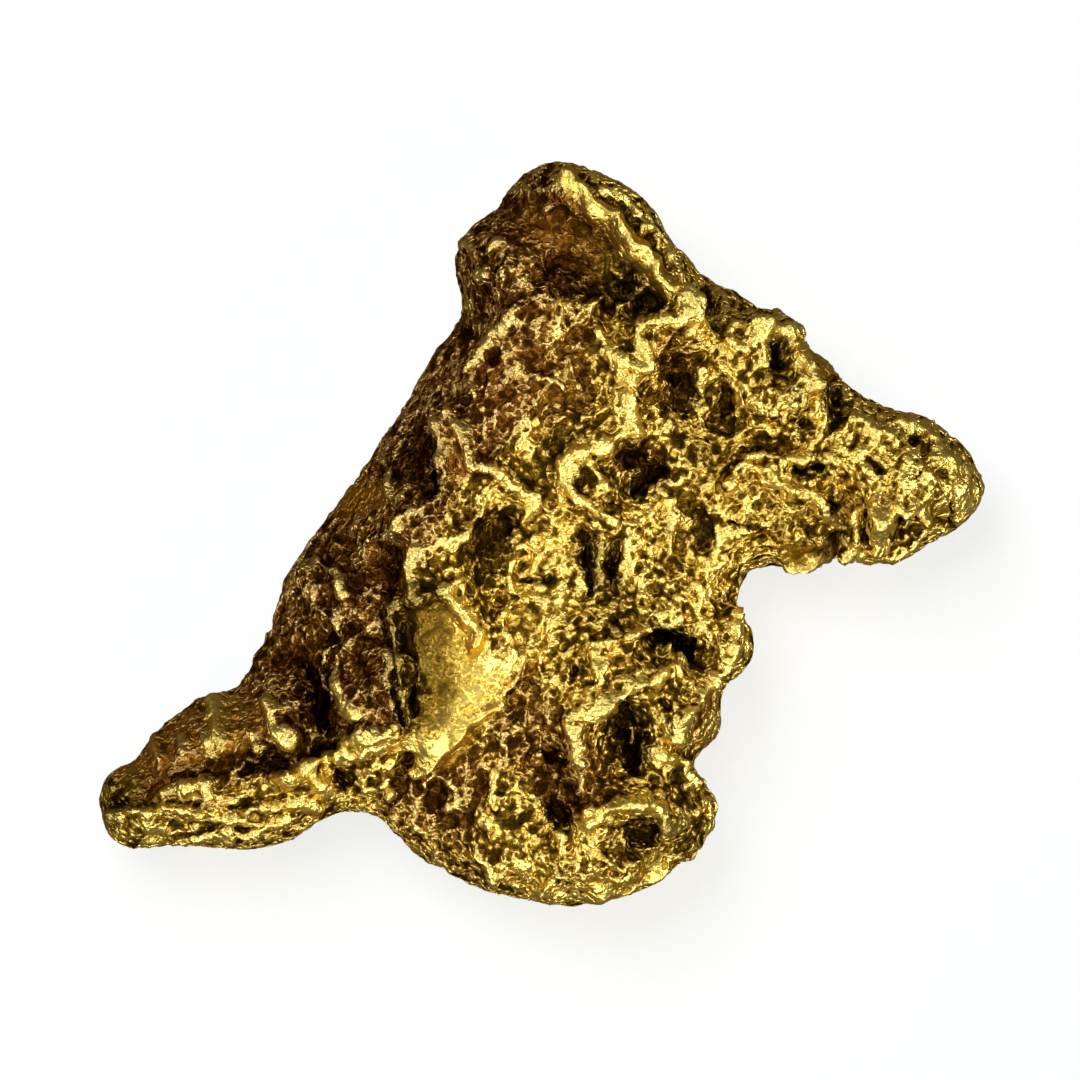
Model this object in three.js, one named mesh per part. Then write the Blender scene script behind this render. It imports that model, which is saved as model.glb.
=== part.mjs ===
// A natural gold nugget: one waterworn piece of metal, about 22 mm long, lying on the flats it has
// worn on its underside. Units are millimetres, +Z is up, and the table is z = 0.
//
// The form is one closed field. The rim says where the metal ends in plan, how high above the table
// its widest line runs, and how far in from the edge the metal reaches its full thickness. Crests,
// backs and hollows then raise or lower the upper face and the underside. The surface of that field
// is meshed with surface nets, and each vertex is moved onto the true surface. Last, the nugget is
// moved so that the origin is under the middle of its plan.

import * as THREE from "three";

// Driving sizes.
const MESH_STEP = 0.45;       // spacing of the surface mesh
const TOP_LEVEL = 3.6;        // upper face before its crests and hollows
const HIGHEST = 6.5;          // above every crest
const BOTTOM_LEVEL = 0.6;     // underside before its hollows and flats
const LEAST_HALF = 0.5;       // least metal above or below the widest line
const GRID_MARGIN = 3;        // mesh steps kept clear round the metal
const RIM_SAMPLES = 5;        // steps of the smooth rim between two of its points
const NEWTON_STEPS = 2;       // moves towards the surface each time a vertex is settled
const RELAX_PASSES = 3;       // passes that even out the mesh
const RELAX_SHARE = 0.5;      // how far each pass moves a vertex towards its neighbours' middle
const PROBE = 0.02;           // step used to measure the field's slope
const FLAT_SLOPE = 0.1;       // least slope squared that a move is worked out with
const FAR_OUT = 2;            // distance from the rim past which the field is plainly outside
const NEARNESS_FLOOR = 0.05;  // square millimetres that keep a rim sample's weight finite at its own spot
const NEARNESS_POWER = -2;    // how fast that weight falls with the square of the distance

// The rim in plan, clockwise from the head, in stretches. `height` is the height of the widest line
// above the table, and `roll` is how far in the edge takes to reach full thickness.
const RIM = [
  {
    name: "head crown", height: 2.7, roll: 1.2,
    line: [[-0.43, 9.0], [0.3, 9.27], [1.0, 9.22], [1.75, 8.95], [2.6, 8.43], [3.03, 7.78],
      [3.12, 7.47], [3.65, 7.0]],
  },
  {
    name: "shoulder", height: 2.4, roll: 1.6,
    line: [[4.12, 6.42], [4.9, 6.07], [5.45, 5.72], [6.0, 5.65], [6.45, 5.12], [6.55, 4.8],
      [7.22, 4.37], [7.72, 3.72], [8.5, 3.27]],
  },
  {
    name: "arm tip", height: 2.2, roll: 1.7,
    line: [[9.04, 3.04], [9.58, 2.92], [10.08, 2.67], [10.5, 2.33], [10.96, 1.67], [11.04, 1.2],
      [10.83, 0.5], [10.2, 0.04]],
  },
  {
    name: "arm lobes", height: 1.7, roll: 1.4,
    line: [[9.87, -0.06], [9.54, -0.33], [8.96, -0.68], [8.0, -0.65], [7.46, -0.5], [6.75, -0.88],
      [6.17, -0.85], [5.66, -0.71], [5.1, -0.98]],
  },
  {
    name: "right flank", height: 2.0, roll: 1.6,
    line: [[4.98, -1.39], [4.82, -1.83], [5.22, -2.19], [5.37, -2.67], [5.14, -3.35], [4.62, -3.73],
      [4.46, -3.95], [4.54, -4.45], [4.46, -5.0], [3.96, -5.44], [3.81, -5.68]],
  },
  {
    name: "bottom lobe", height: 1.8, roll: 1.5,
    line: [[4.09, -6.18], [4.46, -6.66], [4.24, -7.3], [3.61, -8.04], [2.79, -8.7], [1.8, -9.13],
      [0.45, -9.24], [-0.37, -9.06], [-1.2, -8.93]],
  },
  {
    name: "bottom lobe, left", height: 1.8, roll: 2.4,
    line: [[-1.9, -8.6], [-2.71, -8.19], [-3.51, -7.6], [-3.95, -7.05], [-4.35, -6.93]],
  },
  {
    name: "foot, lower edge", height: 1.4, roll: 1.4,
    line: [[-5.2, -6.98], [-5.95, -7.4], [-6.8, -7.79], [-7.5, -7.85], [-8.8, -7.74],
      [-9.4, -7.75], [-10.2, -7.9]],
  },
  {
    name: "foot tip", height: 1.6, roll: 1.3,
    line: [[-10.65, -7.63], [-11.0, -7.08], [-10.99, -6.43], [-10.7, -5.88], [-10.18, -5.69]],
  },
  {
    name: "left flank", height: 1.8, roll: 2.8,
    line: [[-9.88, -5.23], [-9.3, -4.65], [-8.5, -4.08], [-7.5, -3.7], [-7.1, -3.02],
      [-6.72, -2.32], [-6.33, -0.92], [-5.7, -0.1], [-5.1, 0.78], [-4.63, 1.4], [-3.86, 2.55],
      [-3.23, 3.45], [-2.73, 4.4], [-1.9, 5.63]],
  },
  {
    name: "head, left", height: 2.4, roll: 1.7,
    line: [[-2.05, 6.33], [-2.08, 6.93], [-1.8, 7.63], [-1.4, 7.96], [-1.03, 8.13], [-0.79, 8.5]],
  },
];

// Relief of the upper face. Each stroke follows its line, `rise` high (a hollow is negative) and
// fading with a bell-shaped side of half-width `width`. The broad backs come first.
const TOP_RELIEF = [
  { name: "spine", width: 1.7, rise: 1.5,
    line: [[-0.5, 5.9], [-1.2, 4.2], [-2.0, 2.2], [-2.6, 0.4], [-2.9, -1.5], [-3.2, -3.6]] },
  { name: "middle swell", width: 2.4, rise: 0.9, line: [[1.4, 3.4], [1.4, 0.4], [1.4, -2.4]] },
  { name: "head back", width: 1.6, rise: 0.8, line: [[0.1, 7.5], [1.4, 6.9]] },
  { name: "shoulder back", width: 1.3, rise: 0.7, line: [[3.4, 5.0], [5.4, 4.2]] },
  { name: "arm back", width: 1.15, rise: 0.75, line: [[6.0, 3.3], [7.6, 2.3], [9.4, 1.6]] },
  { name: "lobe back", width: 1.8, rise: 0.75, line: [[1.6, -4.6], [1.4, -7.0]] },
  { name: "foot back", width: 1.0, rise: 0.5, line: [[-9.6, -5.9], [-8.2, -5.2], [-6.2, -4.6]] },

  { name: "head lip", width: 0.55, rise: 0.4, line: [[-0.6, 8.2], [0.2, 8.4], [1.0, 8.35]] },
  { name: "head crest", width: 0.7, rise: 0.95,
    line: [[1.0, 8.4], [1.8, 7.9], [2.5, 7.1], [3.1, 6.35], [3.9, 5.6]] },
  { name: "head left lobe", width: 0.65, rise: 0.4, line: [[-1.3, 7.2], [-1.4, 6.5]] },
  { name: "head dish", width: 0.8, rise: -0.4, line: [[0.1, 7.5], [1.0, 7.1]] },
  { name: "trough below the head", width: 0.55, rise: -0.75, line: [[0.3, 6.6], [1.4, 6.2], [2.6, 5.7]] },
  { name: "left slashes", width: 0.5, rise: 0.3, line: [[-0.4, 5.7], [-0.85, 4.95], [-1.7, 4.1]] },

  { name: "shoulder wall", width: 0.52, rise: 0.5,
    line: [[4.0, 5.4], [2.9, 5.2], [2.6, 4.5], [2.2, 3.5], [2.2, 2.6]] },
  { name: "shoulder basin", width: 0.8, rise: -0.65, line: [[3.5, 3.9], [4.4, 3.2]] },
  { name: "groove behind the crest", width: 0.5, rise: -0.45, line: [[4.2, 6.0], [4.5, 5.2]] },
  { name: "shoulder crest", width: 0.52, rise: 0.55, line: [[5.3, 5.0], [6.0, 4.9], [6.4, 4.3], [6.7, 3.5]] },
  { name: "shoulder pocket", width: 0.5, rise: -0.6, line: [[5.8, 4.6], [5.75, 4.1]] },
  { name: "valley before the arm", width: 0.5, rise: -0.35, line: [[7.4, 3.8], [7.3, 2.6]] },

  { name: "arm long ridge", width: 0.5, rise: 0.45,
    line: [[4.7, 1.3], [5.1, 1.68], [6.0, 1.35], [6.8, 0.8], [7.45, 0.2]] },
  { name: "arm hole", width: 0.5, rise: -0.5, line: [[6.5, 1.8], [6.9, 1.7]] },
  { name: "arm gully", width: 0.5, rise: -0.6, line: [[7.4, 0.7], [7.45, 0.0], [7.45, -0.5]] },
  { name: "arm pit", width: 0.5, rise: -0.4, line: [[6.6, 2.75], [5.5, 2.2]] },
  { name: "lobe ring", width: 0.5, rise: 0.35, line: [[8.4, 0.4], [8.8, 0.9], [9.6, 0.7]] },
  { name: "lobe crater", width: 0.5, rise: -0.45, line: [[9.0, 0.3], [9.3, 0.2]] },

  { name: "curl ridge", width: 0.5, rise: 0.45,
    line: [[1.7, 2.3], [1.05, 2.1], [0.68, 1.5], [0.95, 0.85], [1.75, 0.4]] },
  { name: "curl pit", width: 0.6, rise: -0.6, line: [[2.6, 2.0], [2.4, 1.2]] },
  { name: "hook crest", width: 0.5, rise: 0.35,
    line: [[-2.15, 2.95], [-1.9, 2.15], [-1.3, 1.65], [-0.5, 1.05], [-0.2, 0.45]] },
  { name: "slope beside the hook", width: 0.5, rise: -0.3, line: [[-2.6, 2.2], [-2.2, 1.2]] },
  { name: "middle troughs", width: 0.55, rise: -0.4, line: [[1.5, -0.1], [1.7, -1.4]] },
  { name: "middle hollow", width: 0.7, rise: -0.4, line: [[-0.9, 0.0], [-0.9, -0.9]] },
  { name: "hollow above the hole", width: 0.7, rise: -0.35, line: [[3.2, 0.6], [3.4, -0.8]] },

  { name: "thin crest", width: 0.5, rise: 0.4, line: [[-2.85, 0.35], [-3.0, -0.5], [-2.9, -1.4]] },
  { name: "valley left of it", width: 0.5, rise: -0.45, line: [[-3.6, -0.2], [-3.8, -1.4]] },
  { name: "flank ledge", width: 0.5, rise: 0.3, line: [[-2.5, 2.9], [-2.4, 1.7], [-2.9, 0.6], [-4.1, -0.1]] },
  { name: "flank pad", width: 0.6, rise: 0.3, line: [[-3.8, 1.9], [-3.6, 1.1]] },
  { name: "flank crest", width: 0.5, rise: 0.35, line: [[-5.8, -0.5], [-5.1, -1.0], [-4.8, -1.6]] },
  { name: "flank lower ridge", width: 0.5, rise: 0.3, line: [[-5.5, -1.95], [-5.0, -2.4]] },

  { name: "valley round the oval lump", width: 0.5, rise: -0.6,
    line: [[-4.6, -2.5], [-5.2, -3.1], [-5.4, -4.2], [-5.0, -4.85]] },
  { name: "oval lump", width: 0.55, rise: 0.55, line: [[-4.35, -3.2], [-4.35, -4.2]] },
  { name: "valley left of the thumb", width: 0.45, rise: -0.6, line: [[-3.4, -2.2], [-3.4, -4.7]] },
  { name: "left lump", width: 0.55, rise: 0.4, line: [[-6.5, -4.2], [-6.4, -4.8]] },

  { name: "thumb ridge", width: 0.5, rise: 0.35, line: [[-2.2, -1.5], [-1.65, -2.2], [-1.5, -2.8]] },

  { name: "foot valley", width: 0.5, rise: -0.6,
    line: [[-10.6, -6.65], [-9.0, -6.1], [-7.0, -5.75], [-5.2, -5.3]] },
  { name: "foot lip", width: 0.5, rise: 0.35, line: [[-10.3, -7.0], [-9.0, -6.8], [-7.7, -6.75]] },
  { name: "foot crest", width: 0.52, rise: 0.65,
    line: [[-6.5, -6.1], [-5.5, -5.85], [-4.5, -5.2], [-3.8, -4.9]] },
  { name: "foot pits", width: 0.5, rise: -0.45, line: [[-5.1, -6.1], [-4.75, -6.4]] },
  { name: "crotch pit", width: 0.5, rise: -0.6, line: [[-3.25, -5.6], [-3.6, -6.0]] },

  { name: "deep hole", width: 0.52, rise: -1.3, line: [[3.1, -2.55], [3.5, -2.9]] },
  { name: "hole brow", width: 0.5, rise: 0.35, line: [[2.0, -2.6], [2.9, -2.0], [3.6, -1.8]] },
  { name: "forked crest", width: 0.5, rise: 0.45,
    line: [[3.4, -3.6], [2.3, -3.75], [1.1, -4.4], [0.95, -5.6]] },
  { name: "big pit", width: 0.58, rise: -0.9, line: [[2.2, -4.6], [2.2, -5.4]] },
  { name: "round pit", width: 0.5, rise: -0.45, line: [[0.2, -5.3], [0.3, -5.6]] },
  { name: "lower pit", width: 0.5, rise: -0.5, line: [[0.3, -6.6], [0.4, -7.2]] },
  { name: "edge crest", width: 0.52, rise: 0.5,
    line: [[4.6, -2.1], [4.6, -2.95], [4.05, -3.65], [3.5, -4.4], [3.25, -5.2]] },
  { name: "bowl arc", width: 0.5, rise: 0.4, line: [[1.3, -6.95], [2.0, -6.65], [2.8, -6.7], [3.3, -7.1]] },
  { name: "bowl", width: 0.55, rise: -0.65, line: [[2.3, -7.5], [2.7, -7.45]] },
  { name: "bowl lip", width: 0.5, rise: 0.4, line: [[3.5, -7.4], [2.9, -8.0], [2.0, -8.4], [1.0, -8.5]] },
  { name: "left bowl", width: 0.6, rise: -0.4, line: [[-2.5, -6.4], [-2.3, -6.5]] },
  { name: "lower left rib", width: 0.5, rise: 0.3, line: [[-0.8, -4.9], [-1.1, -6.6], [-1.5, -7.7]] },
];

// Relief of the underside: broad hollows, small dents, and the four places it rests on.
const BOTTOM_RELIEF = [
  { name: "hollow under the body", width: 2.4, rise: 0.8, line: [[-1.2, 1.4], [-3.2, -2.6]] },
  { name: "hollow under the arm", width: 1.3, rise: 0.5, line: [[3.6, 3.6], [4.2, 1.4]] },
  { name: "hollow under the right flank", width: 1.1, rise: 0.5, line: [[2.4, -2.6], [1.6, -4.0]] },
  { name: "fold under the lobe", width: 0.7, rise: 0.35, line: [[-1.6, -5.4], [-0.6, -6.6]] },
  { name: "dent under the foot", width: 0.8, rise: 0.45, line: [[-6.4, -4.4], [-5.4, -5.2]] },
  { name: "dent under the head", width: 0.7, rise: 0.4, line: [[-0.5, 7.0], [0.4, 7.6]] },
  { name: "dent under the tip", width: 0.5, rise: 0.35, line: [[9.4, 0.8], [9.6, 1.4]] },
  { name: "knuckle under the flank", width: 0.8, rise: -0.35, line: [[-4.4, -0.6], [-4.9, -1.4]] },
  { name: "head rest", width: 1.3, rise: -1.1, line: [[0.9, 5.8], [1.8, 5.4]] },
  { name: "arm rest", width: 1.0, rise: -1.1, line: [[6.9, 1.9], [7.9, 1.5]] },
  { name: "lobe rest", width: 1.3, rise: -1.1, line: [[1.6, -6.7], [0.8, -7.1]] },
  { name: "foot rest", width: 0.95, rise: -1.1, line: [[-8.8, -6.4], [-7.8, -6.2]] },
];

// The thumb-shaped facet: a smooth, nearly flat face between the spine and the bottom lobe.
const THUMB = {
  outline: [[-3.1, -1.95], [-2.3, -1.75], [-1.85, -2.6], [-0.75, -3.3], [-1.2, -4.1], [-2.2, -5.0],
    [-2.95, -5.7], [-3.2, -4.6]],
  centre: [-2.2, -3.6],
  height: 4.75,
  slope: [-0.12, 0.1],      // rise per millimetre along X and along Y
  edge: 0.45,               // width over which the facet meets the surface round it
};

// 0 below `from`, 1 above `to`, and smooth between them.
const smooth = (from, to, value) => {
  const t = Math.min(1, Math.max(0, (value - from) / (to - from)));
  return t * t * (3 - 2 * t);
};

// Distance from a point to the segment a-b, in plan.
function segmentDistance(x, y, a, b) {
  const ex = b[0] - a[0];
  const ey = b[1] - a[1];
  const along = ((x - a[0]) * ex + (y - a[1]) * ey) / (ex * ex + ey * ey);
  const t = Math.min(1, Math.max(0, along));
  return Math.hypot(x - a[0] - ex * t, y - a[1] - ey * t);
}

// Distance from a point to the nearest of a line's segments, in plan.
function lineDistance(x, y, line) {
  let least = Infinity;
  for (let i = 1; i < line.length; i += 1) {
    least = Math.min(least, segmentDistance(x, y, line[i - 1], line[i]));
  }
  return least;
}

// True where a point lies inside a closed outline.
function isInside(x, y, outline) {
  let inside = false;
  outline.forEach(([ax, ay], i) => {
    const [bx, by] = outline[(i + 1) % outline.length];
    if ((ay > y) !== (by > y) && x < ax + ((y - ay) / (by - ay)) * (bx - ax)) inside = !inside;
  });
  return inside;
}

// The rim as a smooth closed curve, with the height and roll of its stretches along it.
function makeRim() {
  const stations = RIM.flatMap(({ line, height, roll }) => line.map(([x, y]) => ({ x, y, height, roll })));
  const curve = new THREE.CatmullRomCurve3(stations.map(({ x, y }) => new THREE.Vector3(x, y, 0)), true);
  const count = stations.length * RIM_SAMPLES;
  return Array.from({ length: count }, (_, i) => {
    const at = curve.getPoint(i / count);
    const first = stations[Math.floor(i / RIM_SAMPLES)];
    const next = stations[(Math.floor(i / RIM_SAMPLES) + 1) % stations.length];
    const part = (i % RIM_SAMPLES) / RIM_SAMPLES;
    return {
      point: [at.x, at.y],
      height: THREE.MathUtils.lerp(first.height, next.height, part),
      roll: THREE.MathUtils.lerp(first.roll, next.roll, part),
    };
  });
}

const rim = makeRim();
const rimOutline = rim.map(({ point }) => point);

// Distance in from the rim (negative outside), and the rim's height and roll weighted by nearness.
function rimAt(x, y) {
  let least = Infinity;
  let weight = 0;
  let height = 0;
  let roll = 0;
  rim.forEach((station, i) => {
    const next = rim[(i + 1) % rim.length].point;
    least = Math.min(least, segmentDistance(x, y, station.point, next));
    const away = (x - station.point[0]) ** 2 + (y - station.point[1]) ** 2;
    const near = (away + NEARNESS_FLOOR) ** NEARNESS_POWER;
    weight += near;
    height += near * station.height;
    roll += near * station.roll;
  });
  const depth = isInside(x, y, rimOutline) ? least : -least;
  return { depth, height: height / weight, roll: roll / weight };
}

// The strokes' rises added up at one point of the plan.
const reliefAt = (x, y, strokes) => strokes.reduce(
  (sum, { line, width, rise }) => sum + rise * Math.exp(-((lineDistance(x, y, line) / width) ** 2)), 0);

// Height of the upper face far from the rim, with the thumb facet let into it.
function topAt(x, y) {
  const relief = TOP_LEVEL + reliefAt(x, y, TOP_RELIEF);
  const { outline, centre, height, slope, edge } = THUMB;
  const toEdge = lineDistance(x, y, [...outline, outline[0]]);
  const into = isInside(x, y, outline) ? toEdge : -toEdge;
  const facet = height + slope[0] * (x - centre[0]) + slope[1] * (y - centre[1]);
  return THREE.MathUtils.lerp(relief, facet, smooth(-edge, edge, into));
}

// What the rim and the relief say at one point of the plan: the height of the widest line, and how
// much metal stands above it and hangs below it.
function columnAt(x, y) {
  const { depth, height, roll } = rimAt(x, y);
  if (depth < -FAR_OUT) return { depth };
  const above = Math.max(topAt(x, y) - height, LEAST_HALF);
  const below = Math.max(height - BOTTOM_LEVEL - reliefAt(x, y, BOTTOM_RELIEF), LEAST_HALF);
  return { depth, height, roll, above, below };
}

// The field on a column: below zero inside the metal, above zero outside. Near the rim the section is
// a quarter of an ellipse above the widest line, and another below it.
function field({ depth, height, roll, above, below }, z) {
  if (depth < -FAR_OUT) return FAR_OUT;
  const half = z > height ? above : below;
  const fromEdge = Math.max(0, 1 - depth / roll);
  return (Math.hypot((z - height) / half, fromEdge) - 1) * Math.min(half, roll);
}

// Moves a point onto the surface by Newton's method, no further than half a mesh step at a time.
function settle(p) {
  for (let i = 0; i < NEWTON_STEPS; i += 1) {
    const here = columnAt(p.x, p.y);
    const value = field(here, p.z);
    const slope = new THREE.Vector3(
      field(columnAt(p.x + PROBE, p.y), p.z) - value,
      field(columnAt(p.x, p.y + PROBE), p.z) - value,
      field(here, p.z + PROBE) - value,
    ).divideScalar(PROBE);
    const step = slope.multiplyScalar(-value / Math.max(slope.lengthSq(), FLAT_SLOPE));
    p.add(step.clampLength(0, MESH_STEP / 2));
  }
}

// Four nodes round a grid face that are in, out, in and out would pinch two sheets of the surface into
// one edge. The node nearest the surface changes side until no such face is left.
function unpinch(values, nodeAt, [nx, ny, nz]) {
  const spans = [[[1, 0, 0], [0, 1, 0]], [[0, 1, 0], [0, 0, 1]], [[0, 0, 1], [1, 0, 0]]];
  let changed = true;
  while (changed) {
    changed = false;
    for (let k = 0; k < nz - 1; k += 1) {
      for (let j = 0; j < ny - 1; j += 1) {
        for (let i = 0; i < nx - 1; i += 1) {
          for (const [u, v] of spans) {
            const ring = [nodeAt(i, j, k), nodeAt(i + u[0], j + u[1], k + u[2]),
              nodeAt(i + u[0] + v[0], j + u[1] + v[1], k + u[2] + v[2]),
              nodeAt(i + v[0], j + v[1], k + v[2])];
            const [a, b, c, d] = ring.map((node) => values[node] < 0);
            if (a !== c || b !== d || a === b) continue;
            const nearest = ring.reduce((x, y) => (Math.abs(values[x]) < Math.abs(values[y]) ? x : y));
            values[nearest] *= -1;
            changed = true;
          }
        }
      }
    }
  }
}

// Evens out the mesh: each vertex moves towards the middle of its neighbours and back onto the surface.
function relax(vertices, faces) {
  const sums = vertices.map(() => new THREE.Vector3());
  const counts = new Uint16Array(vertices.length);
  faces.forEach((from, i) => {
    const to = i % 3 === 2 ? faces[i - 2] : faces[i + 1];
    sums[from].add(vertices[to]);
    sums[to].add(vertices[from]);
    counts[from] += 1;
    counts[to] += 1;
  });
  vertices.forEach((p, i) => {
    p.lerp(sums[i].divideScalar(counts[i]), RELAX_SHARE);
    settle(p);
  });
}

// Surface nets: one vertex in each cell that the surface crosses, and one quad across each grid edge
// that it crosses. Vertices below the table are set on it, which leaves the worn flats.
function meshField(box, step) {
  const size = box.getSize(new THREE.Vector3()).divideScalar(step).ceil();
  const [nx, ny, nz] = [size.x + 1, size.y + 1, size.z + 1];
  const nodeAt = (i, j, k) => (k * ny + j) * nx + i;
  const values = new Float64Array(nx * ny * nz);
  for (let j = 0; j < ny; j += 1) {
    for (let i = 0; i < nx; i += 1) {
      const column = columnAt(box.min.x + i * step, box.min.y + j * step);
      for (let k = 0; k < nz; k += 1) values[nodeAt(i, j, k)] = field(column, box.min.z + k * step);
    }
  }
  unpinch(values, nodeAt, [nx, ny, nz]);
  const corners = [0, 1, 2, 3, 4, 5, 6, 7].map((c) => [c & 1, (c >> 1) & 1, c >> 2]);
  const edges = corners.flatMap((_, a) => [1, 2, 4].filter((bit) => !(a & bit)).map((bit) => [a, a | bit]));
  const cellVertex = new Map();
  const vertices = [];
  for (let k = 0; k < nz - 1; k += 1) {
    for (let j = 0; j < ny - 1; j += 1) {
      for (let i = 0; i < nx - 1; i += 1) {
        const at = corners.map(([a, b, c]) => values[nodeAt(i + a, j + b, k + c)]);
        const crossed = edges.filter(([a, b]) => (at[a] < 0) !== (at[b] < 0));
        if (crossed.length === 0) continue;
        const mean = new THREE.Vector3();
        crossed.forEach(([a, b]) => {
          const t = at[a] / (at[a] - at[b]);
          mean.add(new THREE.Vector3(...corners[a]).lerp(new THREE.Vector3(...corners[b]), t));
        });
        mean.divideScalar(crossed.length).add(new THREE.Vector3(i, j, k)).multiplyScalar(step).add(box.min);
        cellVertex.set(nodeAt(i, j, k), vertices.length);
        vertices.push(mean);
      }
    }
  }
  const faces = [];
  const addQuad = (a, b, c, d) => {
    const flat = vertices[a].distanceTo(vertices[c]) <= vertices[b].distanceTo(vertices[d]);
    faces.push(...(flat ? [a, b, c, a, c, d] : [a, b, d, b, c, d]));
  };
  const axes = [[[1, 0, 0], [0, 1, 0], [0, 0, 1]], [[0, 1, 0], [0, 0, 1], [1, 0, 0]],
    [[0, 0, 1], [1, 0, 0], [0, 1, 0]]];
  axes.forEach(([along, u, v]) => {
    for (let k = 1; k < nz - 1; k += 1) {
      for (let j = 1; j < ny - 1; j += 1) {
        for (let i = 1; i < nx - 1; i += 1) {
          const near = values[nodeAt(i, j, k)] < 0;
          const next = values[nodeAt(i + along[0], j + along[1], k + along[2])] < 0;
          if (near === next) continue;
          const ring = [[0, 0], [1, 0], [1, 1], [0, 1]].map(([a, b]) => cellVertex.get(nodeAt(
            i - a * u[0] - b * v[0], j - a * u[1] - b * v[1], k - a * u[2] - b * v[2])));
          addQuad(...(near ? ring : ring.reverse()));
        }
      }
    }
  });
  for (let pass = 0; pass < RELAX_PASSES; pass += 1) relax(vertices, faces);
  vertices.forEach((p) => { p.z = Math.max(p.z, 0); });
  return { vertices, faces };
}

// The nugget, meshed and moved so that the origin is under the middle of its plan.
function makeNugget() {
  const margin = GRID_MARGIN * MESH_STEP;
  const box = new THREE.Box3().setFromPoints(rimOutline.map(([x, y]) => new THREE.Vector3(x, y, 0)));
  box.max.z = HIGHEST;
  box.expandByScalar(margin);
  const { vertices, faces } = meshField(box, MESH_STEP);
  const geometry = new THREE.BufferGeometry();
  const positions = new Float32Array(vertices.flatMap((p) => p.toArray()));
  geometry.setAttribute("position", new THREE.BufferAttribute(positions, 3));
  geometry.setIndex(faces);
  geometry.computeBoundingBox();
  const middle = geometry.boundingBox.getCenter(new THREE.Vector3());
  geometry.translate(-middle.x, -middle.y, 0);
  geometry.computeVertexNormals();
  const gold = new THREE.MeshStandardMaterial({ color: 0xc79a3a, roughness: 0.35, metalness: 1 });
  const nugget = new THREE.Mesh(geometry, gold);
  nugget.name = "nugget";
  return nugget;
}

const part = new THREE.Group();
part.name = "gold_nugget";
part.add(makeNugget());
export default part;
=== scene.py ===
# %% [markdown]
# # A waterworn gold nugget
# Native gold is soft. A nugget that has rolled in a river keeps the folds and holes of the rock that it
# grew in, with its proud crests worn bright and its hollows left granular and stained. The nugget lies
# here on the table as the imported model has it. This lesson keeps that model's size and place, and adds
# the folds, the pits and the skin that the plain solid leaves out.

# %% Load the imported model
import math

import bmesh
import bpy
import numpy as np
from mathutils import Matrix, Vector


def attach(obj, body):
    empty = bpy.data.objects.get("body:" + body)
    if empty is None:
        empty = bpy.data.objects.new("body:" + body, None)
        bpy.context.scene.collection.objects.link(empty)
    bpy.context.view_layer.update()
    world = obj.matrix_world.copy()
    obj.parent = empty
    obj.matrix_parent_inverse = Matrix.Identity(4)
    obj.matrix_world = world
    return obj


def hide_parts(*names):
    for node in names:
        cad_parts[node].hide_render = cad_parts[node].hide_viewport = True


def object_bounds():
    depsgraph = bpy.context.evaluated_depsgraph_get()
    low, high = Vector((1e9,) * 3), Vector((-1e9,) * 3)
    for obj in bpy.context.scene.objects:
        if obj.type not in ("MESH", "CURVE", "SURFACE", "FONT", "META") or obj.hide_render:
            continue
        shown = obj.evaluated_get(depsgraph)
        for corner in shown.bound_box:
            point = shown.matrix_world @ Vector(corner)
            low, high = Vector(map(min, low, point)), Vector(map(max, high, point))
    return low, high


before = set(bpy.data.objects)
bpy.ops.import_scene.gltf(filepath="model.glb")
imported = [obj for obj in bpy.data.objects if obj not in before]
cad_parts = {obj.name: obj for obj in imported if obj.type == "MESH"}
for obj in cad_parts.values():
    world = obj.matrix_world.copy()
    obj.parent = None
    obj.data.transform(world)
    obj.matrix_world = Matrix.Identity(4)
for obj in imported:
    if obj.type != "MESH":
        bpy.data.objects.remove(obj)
cad_low, cad_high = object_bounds()
MM = 0.001
print("packed nugget:", [round((high - low) / MM, 2) for low, high in zip(cad_low, cad_high)], "mm")

# %% [markdown]
# ## The lump
# The solid already has the outline and the big folds. Modelling the lump again from a sphere would risk
# a second, slightly different shape, so the skin starts as a copy of the solid. The solid is loose
# triangles, so the copy is merged first. It is unwrapped while it is still coarse, because a few large
# patches bake more sharply than thousands of tiny ones.

# %% Copy and merge the solid
SAME_POINT = 0.002 * MM


def merged_copy(node, name):
    """A copy of a CAD node's mesh with its loose triangles joined."""
    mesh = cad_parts[node].data.copy()
    mesh.name = name
    shape = bmesh.new()
    shape.from_mesh(mesh)
    bmesh.ops.remove_doubles(shape, verts=shape.verts, dist=SAME_POINT)
    shape.to_mesh(mesh)
    shape.free()
    return mesh


skin = bpy.data.objects.new("nugget_skin", merged_copy("nugget", "nugget_skin"))
bpy.context.scene.collection.objects.link(skin)
print("merged copy:", len(skin.data.vertices), "points,", len(skin.data.polygons), "triangles")

# %% Unwrap the coarse copy
PATCH_ANGLE = 72
PATCH_GAP = 0.002
PATCH_AREA_WEIGHT = 0.6


def unwrap(piece, name):
    """Unwraps a piece into patches that face roughly one way each."""
    while piece.data.uv_layers:
        piece.data.uv_layers.remove(piece.data.uv_layers[0])
    piece.data.uv_layers.new(name=name)
    bpy.context.view_layer.objects.active = piece
    piece.select_set(True)
    bpy.ops.object.mode_set(mode="EDIT")
    bpy.ops.mesh.select_all(action="SELECT")
    bpy.ops.uv.smart_project(angle_limit=math.radians(PATCH_ANGLE), island_margin=PATCH_GAP,
                             area_weight=PATCH_AREA_WEIGHT)
    bpy.ops.object.mode_set(mode="OBJECT")
    piece.select_set(False)


unwrap(skin, "OFBake")
print("unwrapped:", [layer.name for layer in skin.data.uv_layers])

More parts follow.
